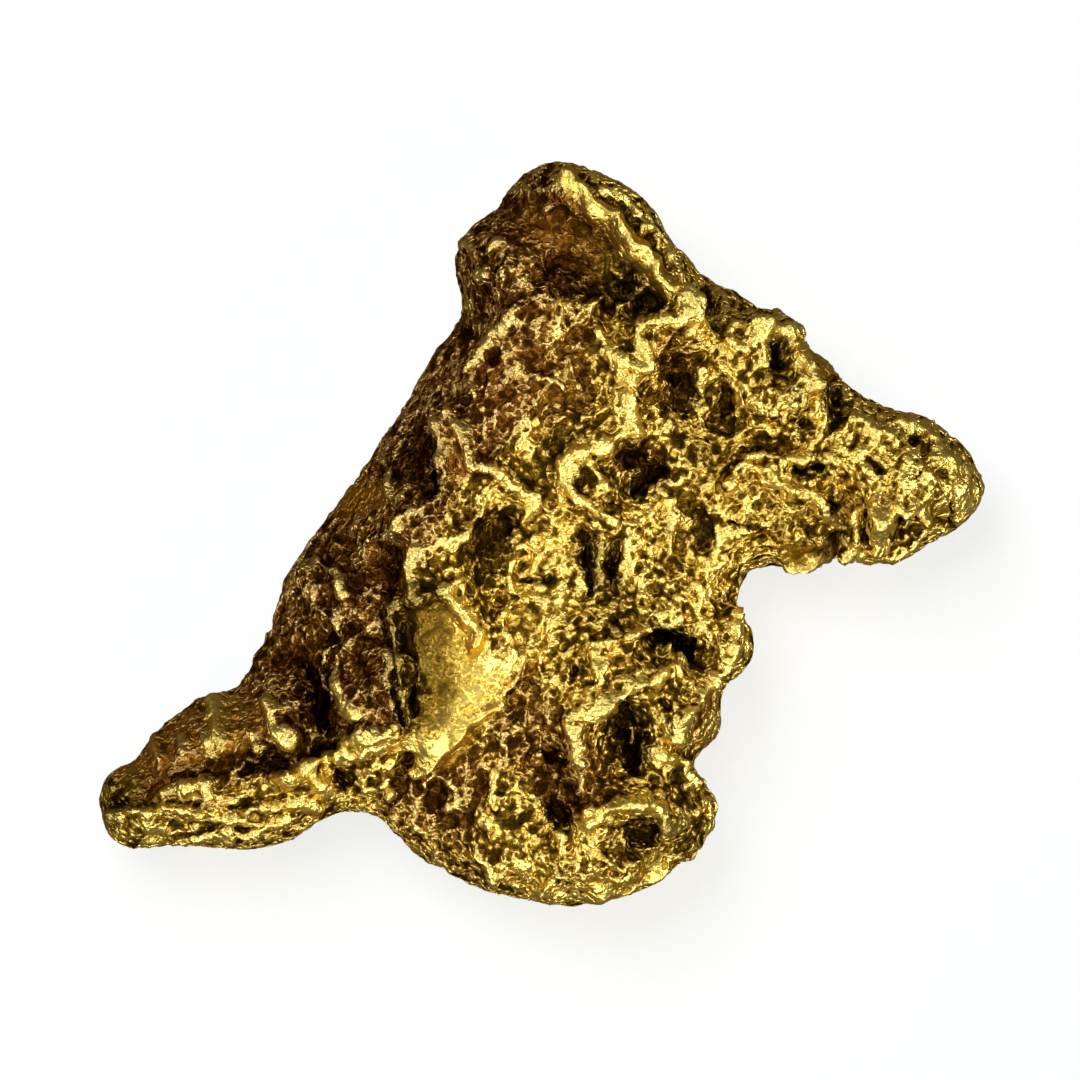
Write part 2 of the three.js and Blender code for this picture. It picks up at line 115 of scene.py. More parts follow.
# %% [markdown]
# ## Points to model with
# The folds are about a fifth of a millimetre across, so the skin needs points closer than a tenth. One
# even grid over the whole lump would spend half its points on the underside. Each edge of the upper
# face and the sides is cut in six and each edge underneath in two, and the flat facets that the coarse
# triangles leave are relaxed away.

# %% Divide the skin
UPPER_CUTS = 5
LOWER_CUTS = 1
UNDERSIDE_TILT = -0.28
LONG_EDGE = 0.2 * MM


def divide(mesh):
    """Cuts the edges of the upper face finely and those of the underside coarsely."""
    shape = bmesh.new()
    shape.from_mesh(mesh)
    shape.normal_update()
    upper = [e for e in shape.edges if any(f.normal.z > UNDERSIDE_TILT for f in e.link_faces)]
    bmesh.ops.subdivide_edges(shape, edges=upper, cuts=UPPER_CUTS, use_grid_fill=True)
    lower = [e for e in shape.edges if e.calc_length() > LONG_EDGE
             and any(f.normal.z <= UNDERSIDE_TILT for f in e.link_faces)]
    bmesh.ops.subdivide_edges(shape, edges=lower, cuts=LOWER_CUTS, use_grid_fill=True)
    bmesh.ops.triangulate(shape, faces=shape.faces[:])
    shape.to_mesh(mesh)
    shape.free()


divide(skin.data)
print("divided:", len(skin.data.vertices), "points,", len(skin.data.polygons), "triangles")

# %% Relax the facets
FACET_PASSES = 26


def points_of(mesh):
    """The mesh's points as rows of x, y and z."""
    flat = np.empty(len(mesh.vertices) * 3)
    mesh.vertices.foreach_get("co", flat)
    return flat.reshape(-1, 3)


def normals_of(mesh):
    """The direction that the surface faces at each point."""
    flat = np.empty(len(mesh.vertices) * 3, dtype=np.float32)
    mesh.vertex_normals.foreach_get("vector", flat)
    return flat.reshape(-1, 3).astype(float)


def move_points(mesh, points):
    """Puts the mesh's points in new places."""
    mesh.vertices.foreach_set("co", points.ravel())
    mesh.update()


def relaxed(mesh, values, passes):
    """Values of the points, averaged with their neighbours' a number of times."""
    edges = np.empty(len(mesh.edges) * 2, dtype=np.int64)
    mesh.edges.foreach_get("vertices", edges)
    a, b = edges[0::2], edges[1::2]
    count = np.bincount(edges, minlength=len(values))
    for _ in range(passes):
        columns = []
        for column in values.T:
            near = np.bincount(a, column[b], len(values)) + np.bincount(b, column[a], len(values))
            columns.append((column + near / count) / 2)
        values = np.stack(columns, axis=1)
    return values


smooth_points = relaxed(skin.data, points_of(skin.data), FACET_PASSES)
smooth_points[:, 2] = np.maximum(smooth_points[:, 2], 0)
move_points(skin.data, smooth_points)
print("height after relaxing:", round(smooth_points[:, 2].max() / MM, 2), "mm")

# %% [markdown]
# ## Folds and pits listed one by one
# Every nugget has its own folds, so no pattern can give these. Sculpting can't be written down, and a
# height picture would be one more file. Here each crest or pit is a stroke: a line in plan, how wide it
# is and how far it lifts or sinks the skin, in millimetres. A crest is sharp, with a foot wider than its
# ridge, and a pit or a lone bump is round. A gentle wobble bends the strokes, so that none looks drawn
# with a ruler.

# %% A stroke's height
SHARP_FOOT = 2.2
WOBBLE = 0.225
WOBBLE_WAVES = [(2.3, 4.1, 0.4), (-3.7, 2.9, 1.9), (5.3, -1.7, 2.8), (1.1, 6.7, 5.1),
                (9.1, 6.3, 3.3), (-7.7, 10.3, 0.9), (13.1, -5.9, 1.2), (4.7, 12.9, 4.4)]


def wobbled(plan):
    """The plan, bent by a few crossing waves, the longer ones more."""
    bent = plan.copy()
    for i, (across, up, start) in enumerate(WOBBLE_WAVES):
        reach = WOBBLE / math.hypot(across, up)
        bent[:, i % 2] += reach * np.sin(across * plan[:, 0] + up * plan[:, 1] + start)
    return bent


def stroke_reach(plan, width, line, sharp=False):
    """1 on a stroke's line, falling to 0 at its width: round on top, or sharp with a wider foot."""
    line = np.array(line, dtype=float).reshape(-1, 2)
    furthest = width * (SHARP_FOOT if sharp else 1)
    low, high = line.min(0) - furthest, line.max(0) + furthest
    near = np.flatnonzero(((plan > low) & (plan < high)).all(axis=1))
    spot = plan[near]
    least = ((spot - line[0]) ** 2).sum(1)
    for a, b in zip(line[:-1], line[1:]):
        along = np.clip(((spot - a) @ (b - a)) / ((b - a) @ (b - a)), 0, 1)
        least = np.minimum(least, ((spot - a - along[:, None] * (b - a)) ** 2).sum(1))
    reach = np.zeros(len(plan))
    if sharp:
        reach[near] = np.clip(1 - np.sqrt(least) / furthest, 0, 1) ** 2
    else:
        reach[near] = np.clip(1 - least / furthest ** 2, 0, 1) ** 2
    return reach


# %% [markdown]
# ### The head
# The head is a dish with a lip. A smooth crest, worn bright, runs down its right side, with a rough
# band outside it, and a deep trough closes the dish at the bottom. Each stroke is a name, a width, a
# rise and a line.

# %% Strokes of the head
HEAD = [
    ("lip", 0.22, 0.14, [(-0.78, 8.4), (-0.4, 8.5), (0.1, 8.55), (0.5, 8.6)]),
    ("bright crest", 0.13, 0.27, [(0.65, 8.68), (1.05, 8.38), (1.8, 7.78), (2.4, 7.08), (3.15, 6.28),
                                  (3.9, 5.55)]),
    ("corner of the crest", 0.5, -0.4, [(4.1, 5.75)]),
    ("inside the crest", 0.5, -0.26, [(0.65, 7.9), (1.35, 7.3), (2.0, 6.6), (2.7, 5.9)]),
    ("groove outside the crest", 0.14, -0.16, [(1.4, 8.5), (2.05, 8.0), (2.6, 7.35), (3.2, 6.65)]),
    ("second strand", 0.1, 0.14, [(1.3, 8.8), (1.9, 8.4), (2.4, 7.9), (2.85, 7.35), (3.4, 6.65)]),
    ("cap hole", 0.15, -0.3, [(-0.15, 8.63)]),
    ("cap pits", 0.14, -0.2, [(0.15, 8.75), (0.5, 8.8)]),
    ("cap bump, left", 0.2, 0.06, [(-0.45, 8.7)]),
    ("cap bump, top", 0.18, 0.07, [(-0.1, 8.92)]),
    ("cap bump, right", 0.2, 0.03, [(0.85, 8.85)]),
    ("dish bump, upper", 0.2, 0.12, [(0.25, 8.1)]),
    ("dish bump, middle", 0.18, 0.1, [(0.7, 7.8)]),
    ("dish bump, right", 0.14, 0.08, [(1.35, 7.45)]),
    ("dish bump, left", 0.12, 0.07, [(-0.15, 7.6)]),
    ("dish dent", 0.16, -0.1, [(0.95, 8.1)]),
    ("left lobe bump", 0.3, 0.16, [(-1.4, 6.5)]),
    ("left lobe pit", 0.14, -0.2, [(-1.15, 6.55)]),
    ("left lobe fold", 0.16, 0.1, [(-1.8, 7.2), (-1.3, 7.0), (-1.0, 7.3)]),
    ("trough", 0.4, -0.14, [(0.3, 6.8), (0.9, 6.6), (1.7, 6.3), (2.5, 5.8)]),
    ("trough crescent", 0.12, 0.14, [(2.0, 5.6), (2.25, 5.9), (2.5, 6.0)]),
    ("trough lump", 0.2, 0.14, [(1.3, 5.7), (1.5, 5.9)]),
]
print("head strokes:", len(HEAD))

# %% [markdown]
# ### The shoulder
# Below the crest the metal folds into a long wall that curls down to the middle, with a basin beside
# it. Short slanting slashes score the neck on the left.

# %% Strokes of the shoulder
SHOULDER = [
    ("wall", 0.2, 0.22, [(3.9, 5.45), (3.3, 5.35), (2.8, 5.2), (2.55, 4.9), (2.6, 4.3), (2.3, 3.8),
                         (2.15, 3.2), (2.2, 2.6)]),
    ("wall branch", 0.18, 0.18, [(1.4, 5.0), (1.7, 4.5), (2.2, 4.15)]),
    ("groove by the crest", 0.22, -0.36, [(4.15, 6.1), (4.35, 5.6), (4.4, 5.1), (4.6, 4.9)]),
    ("upper slash", 0.13, 0.18, [(-0.4, 5.75), (-0.75, 5.2), (-0.85, 4.9)]),
    ("lower slash", 0.13, 0.18, [(-0.95, 5.0), (-1.3, 4.6), (-1.6, 4.2), (-1.75, 4.0)]),
    ("neck pit, right", 0.25, -0.18, [(-1.15, 4.4)]),
    ("neck pit, left", 0.3, -0.18, [(-1.9, 5.0)]),
    ("neck fleck", 0.12, 0.12, [(-1.7, 3.55), (-2.0, 3.4)]),
    ("short ridge, left", 0.13, 0.14, [(0.05, 3.95), (0.5, 3.55)]),
    ("short ridge, right", 0.13, 0.14, [(0.75, 4.1), (0.95, 3.6)]),
    ("curl", 0.13, 0.16, [(5.2, 4.75), (5.15, 5.1), (4.85, 5.15), (4.7, 4.9), (4.85, 4.6), (5.1, 4.6)]),
    ("slot", 0.13, -0.35, [(5.15, 5.6), (5.7, 5.6)]),
    ("pit by the slot", 0.18, -0.25, [(4.75, 5.8)]),
    ("end lump", 0.3, 0.06, [(5.9, 5.35)]),
    ("crest", 0.22, 0.28, [(5.4, 5.1), (6.0, 5.1), (6.15, 4.9), (6.3, 4.6), (6.5, 4.2), (6.6, 3.9),
                           (6.7, 3.6)]),
    ("pocket", 0.3, -0.4, [(5.9, 4.75), (5.9, 4.3)]),
    ("pocket wall", 0.16, 0.16, [(5.5, 5.0), (5.45, 4.2)]),
    ("outer pit", 0.16, -0.2, [(7.35, 3.9)]),
    ("valley", 0.2, -0.16, [(7.3, 3.8), (7.3, 2.6)]),
    ("basin trough, left", 0.3, -0.22, [(3.4, 3.9), (3.5, 3.1)]),
    ("basin trough, right", 0.26, -0.22, [(4.6, 3.8), (4.6, 3.1)]),
    ("basin rib", 0.18, 0.16, [(4.0, 4.2), (4.05, 3.2)]),
]
print("shoulder strokes:", len(SHOULDER))

# %% [markdown]
# ### The arm
# The arm is the roughest part: thin ridges wind round deep holes, and two small lobes hang from its
# lower edge, one with a ring like a crater. Only its tip is worn smooth.

# %% Strokes of the arm
ARM = [
    ("upper pit", 0.36, -0.24, [(6.6, 2.7)]),
    ("upper bump", 0.2, 0.14, [(6.1, 2.9)]),
    ("inner pit", 0.25, -0.24, [(5.35, 2.1)]),
    ("long ridge", 0.17, 0.28, [(4.7, 1.3), (4.8, 1.6), (5.1, 1.7), (5.5, 1.55), (6.0, 1.35), (6.4, 1.1),
                                (6.8, 0.9), (7.1, 0.6), (7.45, 0.3)]),
    ("second ridge", 0.13, 0.2, [(5.2, 1.9), (5.6, 1.85), (6.0, 1.6)]),
    ("hole", 0.25, -0.5, [(6.85, 1.65)]),
    ("hole's tail", 0.12, -0.25, [(6.4, 1.65), (6.85, 1.65)]),
    ("brow of the hole", 0.15, 0.25, [(6.05, 1.7), (6.3, 1.92), (6.8, 2.0), (7.3, 2.0)]),
    ("bead, left", 0.13, 0.12, [(6.2, 1.5)]),
    ("bead, middle", 0.16, 0.14, [(6.6, 1.35)]),
    ("bead, right", 0.16, 0.14, [(7.45, 1.8)]),
    ("lower hole", 0.24, -0.45, [(7.3, 0.75)]),
    ("gully", 0.22, -0.4, [(7.5, 0.4), (7.3, -0.1), (7.45, -0.55)]),
    ("root slot", 0.11, -0.3, [(4.75, 0.25), (5.15, 0.25)]),
    ("inner lobe fork", 0.14, 0.2, [(6.2, -0.2), (6.5, 0.1), (6.9, -0.1)]),
    ("inner lobe hollow", 0.3, -0.14, [(6.4, -0.5), (7.1, -0.5)]),
    ("inner lobe lip", 0.11, 0.14, [(6.1, -0.78), (7.3, -0.62)]),
    ("outer lobe ridge, left", 0.17, 0.26, [(8.0, 0.6), (7.95, 0.0), (7.7, -0.3)]),
    ("outer lobe ridge, right", 0.17, 0.26, [(8.4, 0.9), (8.45, 0.4), (8.35, -0.2)]),
    ("outer lobe gap", 0.17, -0.36, [(8.2, 0.6), (8.15, -0.1)]),
    ("crater ring", 0.16, 0.36, [(8.5, 0.3), (8.55, 0.6), (8.8, 0.85), (9.2, 0.85), (9.6, 0.6)]),
    ("crater floor", 0.2, -0.44, [(8.9, 0.35), (9.25, 0.45)]),
    ("crater bump", 0.22, 0.18, [(9.1, 0.0)]),
    ("outer lobe lip", 0.12, 0.14, [(7.6, -0.35), (8.2, -0.5), (9.0, -0.5), (9.5, -0.1)]),
    ("tip slot", 0.15, -0.4, [(10.25, 0.3), (10.3, 0.7)]),
    ("tip hollow", 0.14, -0.16, [(9.8, 0.25), (10.2, 0.25)]),
    ("tip groove", 0.14, -0.28, [(9.3, 2.35), (9.6, 2.3), (9.55, 1.9), (9.35, 1.4)]),
    ("tip pit", 0.18, -0.26, [(10.0, 1.6)]),
    ("tip crest", 0.25, 0.14, [(9.0, 2.75), (9.6, 2.5), (10.0, 2.2), (10.2, 1.8)]),
    ("back ridge", 0.16, 0.18, [(7.7, 2.9), (8.2, 2.5), (8.7, 2.4)]),
    ("back pit", 0.22, -0.3, [(8.2, 1.9), (8.5, 1.6)]),
]
print("arm strokes:", len(ARM))

# %% [markdown]
# ### The middle
# The middle has a ridge bent like a hook on the left, another curled like a letter C on the right, and
# a rough field of troughs between them.

# %% Strokes of the middle
MIDDLE = [
    ("curled ridge", 0.19, 0.24, [(1.7, 2.3), (1.1, 2.15), (0.75, 1.9), (0.65, 1.5), (0.75, 1.1),
                                  (1.0, 0.8), (1.4, 0.5), (1.8, 0.4)]),
    ("inner ridge", 0.13, 0.16, [(1.2, 1.8), (1.5, 1.4), (1.6, 1.1)]),
    ("pit in the curl", 0.34, -0.3, [(2.2, 2.0), (2.9, 1.6), (2.4, 1.2)]),
    ("hook", 0.18, 0.24, [(-2.15, 2.95), (-1.95, 2.6), (-1.85, 2.1), (-1.6, 1.8), (-1.0, 1.5),
                          (-0.5, 1.05), (-0.1, 0.95), (-0.2, 0.6), (-0.35, 0.4)]),
    ("hook hole", 0.11, -0.25, [(-0.17, 0.3)]),
    ("hook bead", 0.15, 0.16, [(0.15, 0.15)]),
    ("bent ridge", 0.14, 0.16, [(0.7, 3.0), (0.3, 2.8), (0.25, 2.4)]),
    ("rough crest", 0.18, 0.2, [(-1.4, 0.9), (-1.6, 0.6), (-1.9, 0.1), (-2.3, -0.2), (-3.0, -0.4)]),
    ("thin crest", 0.15, 0.3, [(-2.85, 0.35), (-3.05, 0.0), (-3.05, -0.5), (-3.0, -1.0), (-2.9, -1.45)]),
    ("ledge", 0.16, 0.2, [(-2.5, 3.0), (-2.45, 2.6), (-2.35, 1.9), (-2.25, 1.5), (-2.4, 1.1), (-2.7, 0.75),
                          (-3.1, 0.5), (-3.5, 0.15), (-3.9, -0.15), (-4.2, -0.2)]),
    ("ledge slot", 0.12, -0.28, [(-2.6, 1.5), (-2.6, 1.1)]),
    ("trough, left", 0.24, -0.22, [(1.2, -0.1), (1.2, -1.4)]),
    ("trough, right", 0.24, -0.22, [(1.85, -0.2), (1.8, -1.2)]),
    ("rib between", 0.14, 0.14, [(1.5, 0.0), (1.5, -1.3)]),
    ("hollow by the hook", 0.3, -0.18, [(-1.0, 0.2), (-1.3, -0.5)]),
    ("small ridge", 0.13, 0.16, [(-0.9, -1.9), (-0.85, -2.3), (-0.75, -2.7), (-0.8, -3.0)]),
    ("bent crest", 0.13, 0.16, [(-0.75, -1.8), (-0.4, -1.6), (-0.7, -1.3), (-0.8, -1.0), (-0.6, -0.6)]),
    ("slot", 0.11, -0.26, [(-0.45, -1.15), (0.2, -1.15)]),
    ("right ridge", 0.18, 0.16, [(3.0, 1.1), (3.3, 0.4), (3.2, -0.4)]),
    ("right hollow", 0.3, -0.18, [(3.9, 0.6), (4.1, -0.3)]),
]
print("middle strokes:", len(MIDDLE))

# %% [markdown]
# ### The left flank and the thumb facet
# The flank falls away from the spine, with a granular pad, an oval lump and a few worn folds. Beside it
# lies the thumb facet, a smooth face as if pressed by a thumb, between a double fold and a bright ridge.

# %% Strokes of the flank and the thumb facet
FLANK = [
    ("pad crest", 0.16, 0.1, [(-3.3, 2.4), (-3.6, 2.0), (-3.75, 1.5), (-3.6, 1.0)]),
    ("slanting crest", 0.16, 0.16, [(-5.5, -0.6), (-5.0, -1.1), (-4.8, -1.5)]),
    ("ring", 0.13, -0.16, [(-6.05, -1.3)]),
    ("lower ridge", 0.15, 0.16, [(-5.5, -1.95), (-5.2, -2.1), (-5.0, -2.4)]),
    ("pit, left", 0.2, -0.18, [(-5.9, -2.2)]),
    ("pit, right", 0.18, -0.18, [(-5.2, -2.5)]),
    ("outer fold", 0.12, 0.16, [(-5.0, -2.7), (-5.3, -2.9), (-5.45, -3.3), (-5.4, -3.8)]),
    ("oval rim, left", 0.14, 0.2, [(-4.5, -2.65), (-4.75, -3.0), (-4.95, -3.5), (-4.85, -4.1),
                                   (-4.5, -4.45)]),
    ("oval rim, right", 0.14, 0.16, [(-3.85, -3.0), (-3.75, -3.8), (-3.75, -4.6)]),
    ("oval middle", 0.26, -0.1, [(-4.3, -3.2), (-4.3, -4.1)]),
    ("lump crest", 0.16, 0.18, [(-6.75, -4.2), (-6.6, -4.8), (-6.3, -5.1)]),
    ("low bump", 0.3, 0.14, [(-7.0, -5.3)]),
    ("valley by the oval", 0.3, -0.24, [(-5.7, -3.2), (-5.4, -4.6)]),
    ("valley by the thin crest", 0.26, -0.22, [(-3.6, -0.4), (-3.75, -1.4)]),
]
THUMB = [
    ("bright ridge", 0.16, 0.2, [(-2.35, -1.5), (-1.9, -2.0), (-1.6, -2.4), (-1.7, -2.8)]),
    ("double fold", 0.12, 0.2, [(-3.65, -1.9), (-3.55, -2.6), (-3.5, -3.3), (-3.4, -4.0), (-3.3, -4.6)]),
    ("valley inside the fold", 0.17, -0.24, [(-3.25, -2.2), (-3.15, -3.4), (-3.15, -4.4)]),
    ("top edge", 0.14, 0.16, [(-3.7, -1.8), (-3.0, -1.5), (-2.1, -1.2)]),
    ("lower edge", 0.16, 0.13, [(-3.1, -5.95), (-2.6, -5.5), (-2.0, -4.9), (-1.5, -4.5), (-1.0, -4.1),
                                (-0.6, -3.6), (-0.5, -3.0)]),
    ("pinhole", 0.1, -0.12, [(-2.53, -4.55)]),
    ("crotch pit", 0.25, -0.35, [(-3.2, -5.6)]),
    ("bead", 0.12, 0.1, [(-1.75, -2.75)]),
]
print("flank strokes:", len(FLANK), "thumb strokes:", len(THUMB))

# %% [markdown]
# ### The foot
# The foot's upper slope is smooth. A dark valley runs along it, and below the valley a bright, knobbly
# band rolls over to the table side, with streaks along its length.

# %% Strokes of the foot
FOOT = [
    ("slope band, long", 0.24, 0.1, [(-8.25, -3.95), (-8.05, -4.5), (-8.15, -5.1)]),
    ("slope band, left", 0.2, 0.07, [(-9.6, -5.1), (-9.5, -5.5)]),
    ("slope band, right", 0.18, 0.07, [(-7.15, -4.9), (-7.1, -5.3)]),
    ("slope band, middle", 0.16, 0.06, [(-8.9, -5.0), (-8.8, -5.4)]),
    ("valley", 0.22, -0.2, [(-10.9, -6.8), (-9.8, -6.5), (-9.0, -6.1), (-8.0, -5.95), (-7.0, -5.75),
                             (-6.0, -5.7), (-5.2, -5.3)]),
    ("lip", 0.12, 0.16, [(-10.6, -6.95), (-10.2, -6.9), (-9.7, -7.0)]),
    ("crest, right", 0.16, 0.2, [(-7.5, -5.75), (-7.9, -6.0), (-8.3, -6.3)]),
    ("crest, middle", 0.14, 0.18, [(-8.3, -6.1), (-8.9, -6.4)]),
    ("crest, left", 0.14, 0.18, [(-9.4, -6.9), (-9.0, -6.8), (-8.2, -6.9)]),
    ("pad", 0.3, 0.12, [(-9.3, -6.4)]),
    ("long crest", 0.2, 0.3, [(-6.6, -6.0), (-6.1, -5.9), (-5.5, -5.75), (-5.0, -5.5), (-4.5, -5.1),
                              (-4.0, -4.95), (-3.75, -4.9)]),
    ("line beside it", 0.12, 0.14, [(-4.6, -5.4), (-4.0, -5.15)]),
    ("knob", 0.34, 0.24, [(-5.5, -6.2)]),
    ("pits", 0.2, -0.34, [(-5.0, -6.0), (-4.8, -6.25)]),
    ("lump", 0.3, 0.16, [(-6.3, -6.1)]),
    ("ring", 0.14, 0.16, [(-3.8, -5.6), (-4.2, -5.5), (-4.5, -5.8), (-4.35, -6.2), (-4.0, -6.25)]),
    ("blob", 0.24, 0.16, [(-3.7, -6.4)]),
    ("streak, low", 0.1, 0.1, [(-9.8, -7.3), (-8.4, -7.3)]),
    ("streak, lowest", 0.1, 0.1, [(-9.2, -7.52), (-7.6, -7.45)]),
    ("streak, middle", 0.1, 0.1, [(-8.4, -7.05), (-7.0, -7.1)]),
    ("streak, right", 0.12, 0.12, [(-7.4, -7.4), (-6.0, -7.0)]),
    ("streak, near", 0.12, 0.12, [(-6.8, -6.7), (-5.6, -6.75)]),
    ("streak hollow", 0.12, -0.16, [(-9.3, -7.15), (-8.0, -7.2)]),
    ("streak hollow, upper", 0.12, -0.18, [(-9.7, -6.75), (-9.0, -6.6), (-8.5, -6.65)]),
    ("streak hollow, right", 0.12, -0.18, [(-7.8, -6.8), (-7.0, -6.6), (-6.4, -6.5)]),
    ("streak hollow, low", 0.1, -0.16, [(-8.8, -7.38), (-7.8, -7.3), (-7.0, -7.25)]),
]
print("foot strokes:", len(FOOT))

# %% [markdown]
# ### The bottom lobe
# A deep hole and a forked crest cross the top of the lobe. Below them are a long pit with a sliver
# standing in it, a bowl with a bright arc over it, and a thin lip along the outer edge.

# %% Strokes of the bottom lobe
LOBE = [
    ("deep hole", 0.3, -0.5, [(3.0, -2.5), (3.3, -2.7), (3.6, -3.05)]),
    ("brow", 0.14, 0.18, [(3.05, -2.1), (3.5, -1.95)]),
    ("forked crest", 0.17, 0.22, [(2.95, -2.75), (3.2, -3.1), (3.5, -3.3), (3.4, -3.5), (2.9, -3.6),
                                  (2.3, -3.7), (1.9, -3.95), (1.5, -4.2), (1.1, -4.4), (0.9, -4.5),
                                  (0.95, -5.0), (0.85, -5.4), (1.0, -5.7)]),
    ("upper ridge", 0.14, 0.16, [(1.3, -2.6), (1.9, -2.65), (2.4, -2.5), (2.8, -2.3), (2.9, -2.1)]),
    ("side ridge", 0.14, 0.16, [(1.35, -2.9), (1.45, -3.3), (1.5, -3.6)]),
    ("pit, upper left", 0.25, -0.22, [(0.95, -3.3)]),
    ("long pit", 0.4, -0.34, [(2.1, -4.4), (2.3, -5.6)]),
    ("sliver", 0.1, 0.3, [(2.2, -4.8), (2.2, -5.2)]),
    ("round pit", 0.36, -0.28, [(0.4, -5.5)]),
    ("bead in it", 0.13, 0.14, [(0.45, -5.5)]),
    ("lower pit", 0.28, -0.24, [(0.2, -6.6), (0.5, -7.2)]),
    ("pit beside it", 0.2, -0.18, [(0.9, -6.6)]),
    ("pit above", 0.25, -0.22, [(1.9, -2.1)]),
    ("pit by the edge", 0.25, -0.22, [(3.1, -4.2)]),
    ("small pit", 0.2, -0.24, [(2.7, -6.3)]),
    ("edge crest", 0.2, 0.24, [(4.75, -2.0), (4.85, -2.5), (4.7, -2.95), (4.4, -3.3), (4.2, -3.6),
                               (3.8, -3.9), (3.55, -4.3), (3.4, -4.7), (3.3, -5.0)]),
    ("side crest", 0.16, 0.18, [(3.0, -5.5), (3.4, -5.7), (3.7, -6.1), (3.9, -6.3)]),
    ("bright arc", 0.2, 0.24, [(1.3, -7.05), (1.6, -6.8), (2.0, -6.7), (2.4, -6.65), (2.8, -6.75),
                               (3.0, -6.95), (3.2, -7.3)]),
    ("bowl", 0.4, -0.2, [(2.3, -7.4), (2.7, -7.4)]),
    ("slot", 0.12, -0.24, [(1.35, -7.15), (2.0, -7.25)]),
    ("outer lip", 0.13, 0.16, [(4.2, -7.2), (3.6, -7.85), (2.9, -8.4), (2.2, -8.75), (1.2, -8.95)]),
    ("ripple, upper", 0.1, 0.1, [(1.4, -8.0), (1.9, -8.2), (2.4, -8.1)]),
    ("ripple, lower", 0.1, 0.1, [(1.4, -8.3), (1.9, -8.5), (2.4, -8.4)]),
    ("rib", 0.14, 0.16, [(0.55, -7.3), (0.6, -8.2)]),
    ("rib, low", 0.14, 0.16, [(0.1, -8.7), (0.5, -8.4)]),
    ("rib, left", 0.14, 0.16, [(-1.5, -7.9), (-1.1, -8.5)]),
    ("rib, upper left", 0.14, 0.16, [(-1.15, -6.0), (-1.1, -6.6), (-1.0, -6.8)]),
    ("rib, top left", 0.13, 0.14, [(-0.9, -4.95), (-0.55, -4.8)]),
    ("left ring", 0.16, 0.14, [(-2.9, -6.2), (-2.6, -5.9), (-2.1, -6.1), (-2.0, -6.6), (-2.4, -6.85)]),
]
print("lobe strokes:", len(LOBE))

# %% [markdown]
# ## Set the strokes into the skin
# A stroke lifts the skin between the way it faces and straight up, so a crest on a slope leans out of
# the slope a little but keeps the outline. Strokes are drawn in plan, so they fade out where the skin
# turns under. No crest keeps one height along its line, because the river wore some parts more. Where
# the crests, the ground beside them and the pits lie is kept for the finish.

# %% Lift and sink the skin
STROKES = [*HEAD, *SHOULDER, *ARM, *MIDDLE, *FLANK, *THUMB, *FOOT, *LOBE]
TURNS_UNDER = (-0.1, 0.35)
PROUD = 1.75
LEAN = 0.5
SKIRT_WIDTH = 2.6
PIT_WIDTH = 1.3
UNEVEN = 0.35
UNEVEN_WAVES = (5.3, 3.1), (-3.9, 4.4)


def ramp(low, high, values):
    """0 below low, 1 above high, and smooth between them."""
    t = np.clip((values - low) / (high - low), 0, 1)
    return t * t * (3 - 2 * t)


def uneven(plan):
    """About 1, a third more or less from place to place, so that no crest keeps one height."""
    first, second = (np.sin(a * plan[:, 0] + b * plan[:, 1]) for a, b in UNEVEN_WAVES)
    return 1 + UNEVEN * first * second


plan = wobbled(smooth_points[:, :2] / MM)
facing = normals_of(skin.data)
upward = ramp(*TURNS_UNDER, facing[:, 2])
rise, crests, skirts, pits = (np.zeros(len(plan)) for _ in range(4))
for _, width, height, line in STROKES:
    if height > 0:
        rise += PROUD * height * stroke_reach(plan, width, line, len(line) > 1)
        crests = np.maximum(crests, stroke_reach(plan, width, line))
        skirts = np.maximum(skirts, stroke_reach(plan, SKIRT_WIDTH * width, line))
    else:
        rise += height * stroke_reach(plan, width, line)
        pits = np.maximum(pits, stroke_reach(plan, PIT_WIDTH * width, line))
leaning = facing * (LEAN, LEAN, 1)
leaning /= np.linalg.norm(leaning, axis=1)[:, None]
folded = smooth_points + leaning * (rise * uneven(plan) * upward * MM)[:, None]
move_points(skin.data, folded)
print("strokes set:", len(STROKES), "from", round(rise.min(), 2), "to", round(rise.max(), 2), "mm")
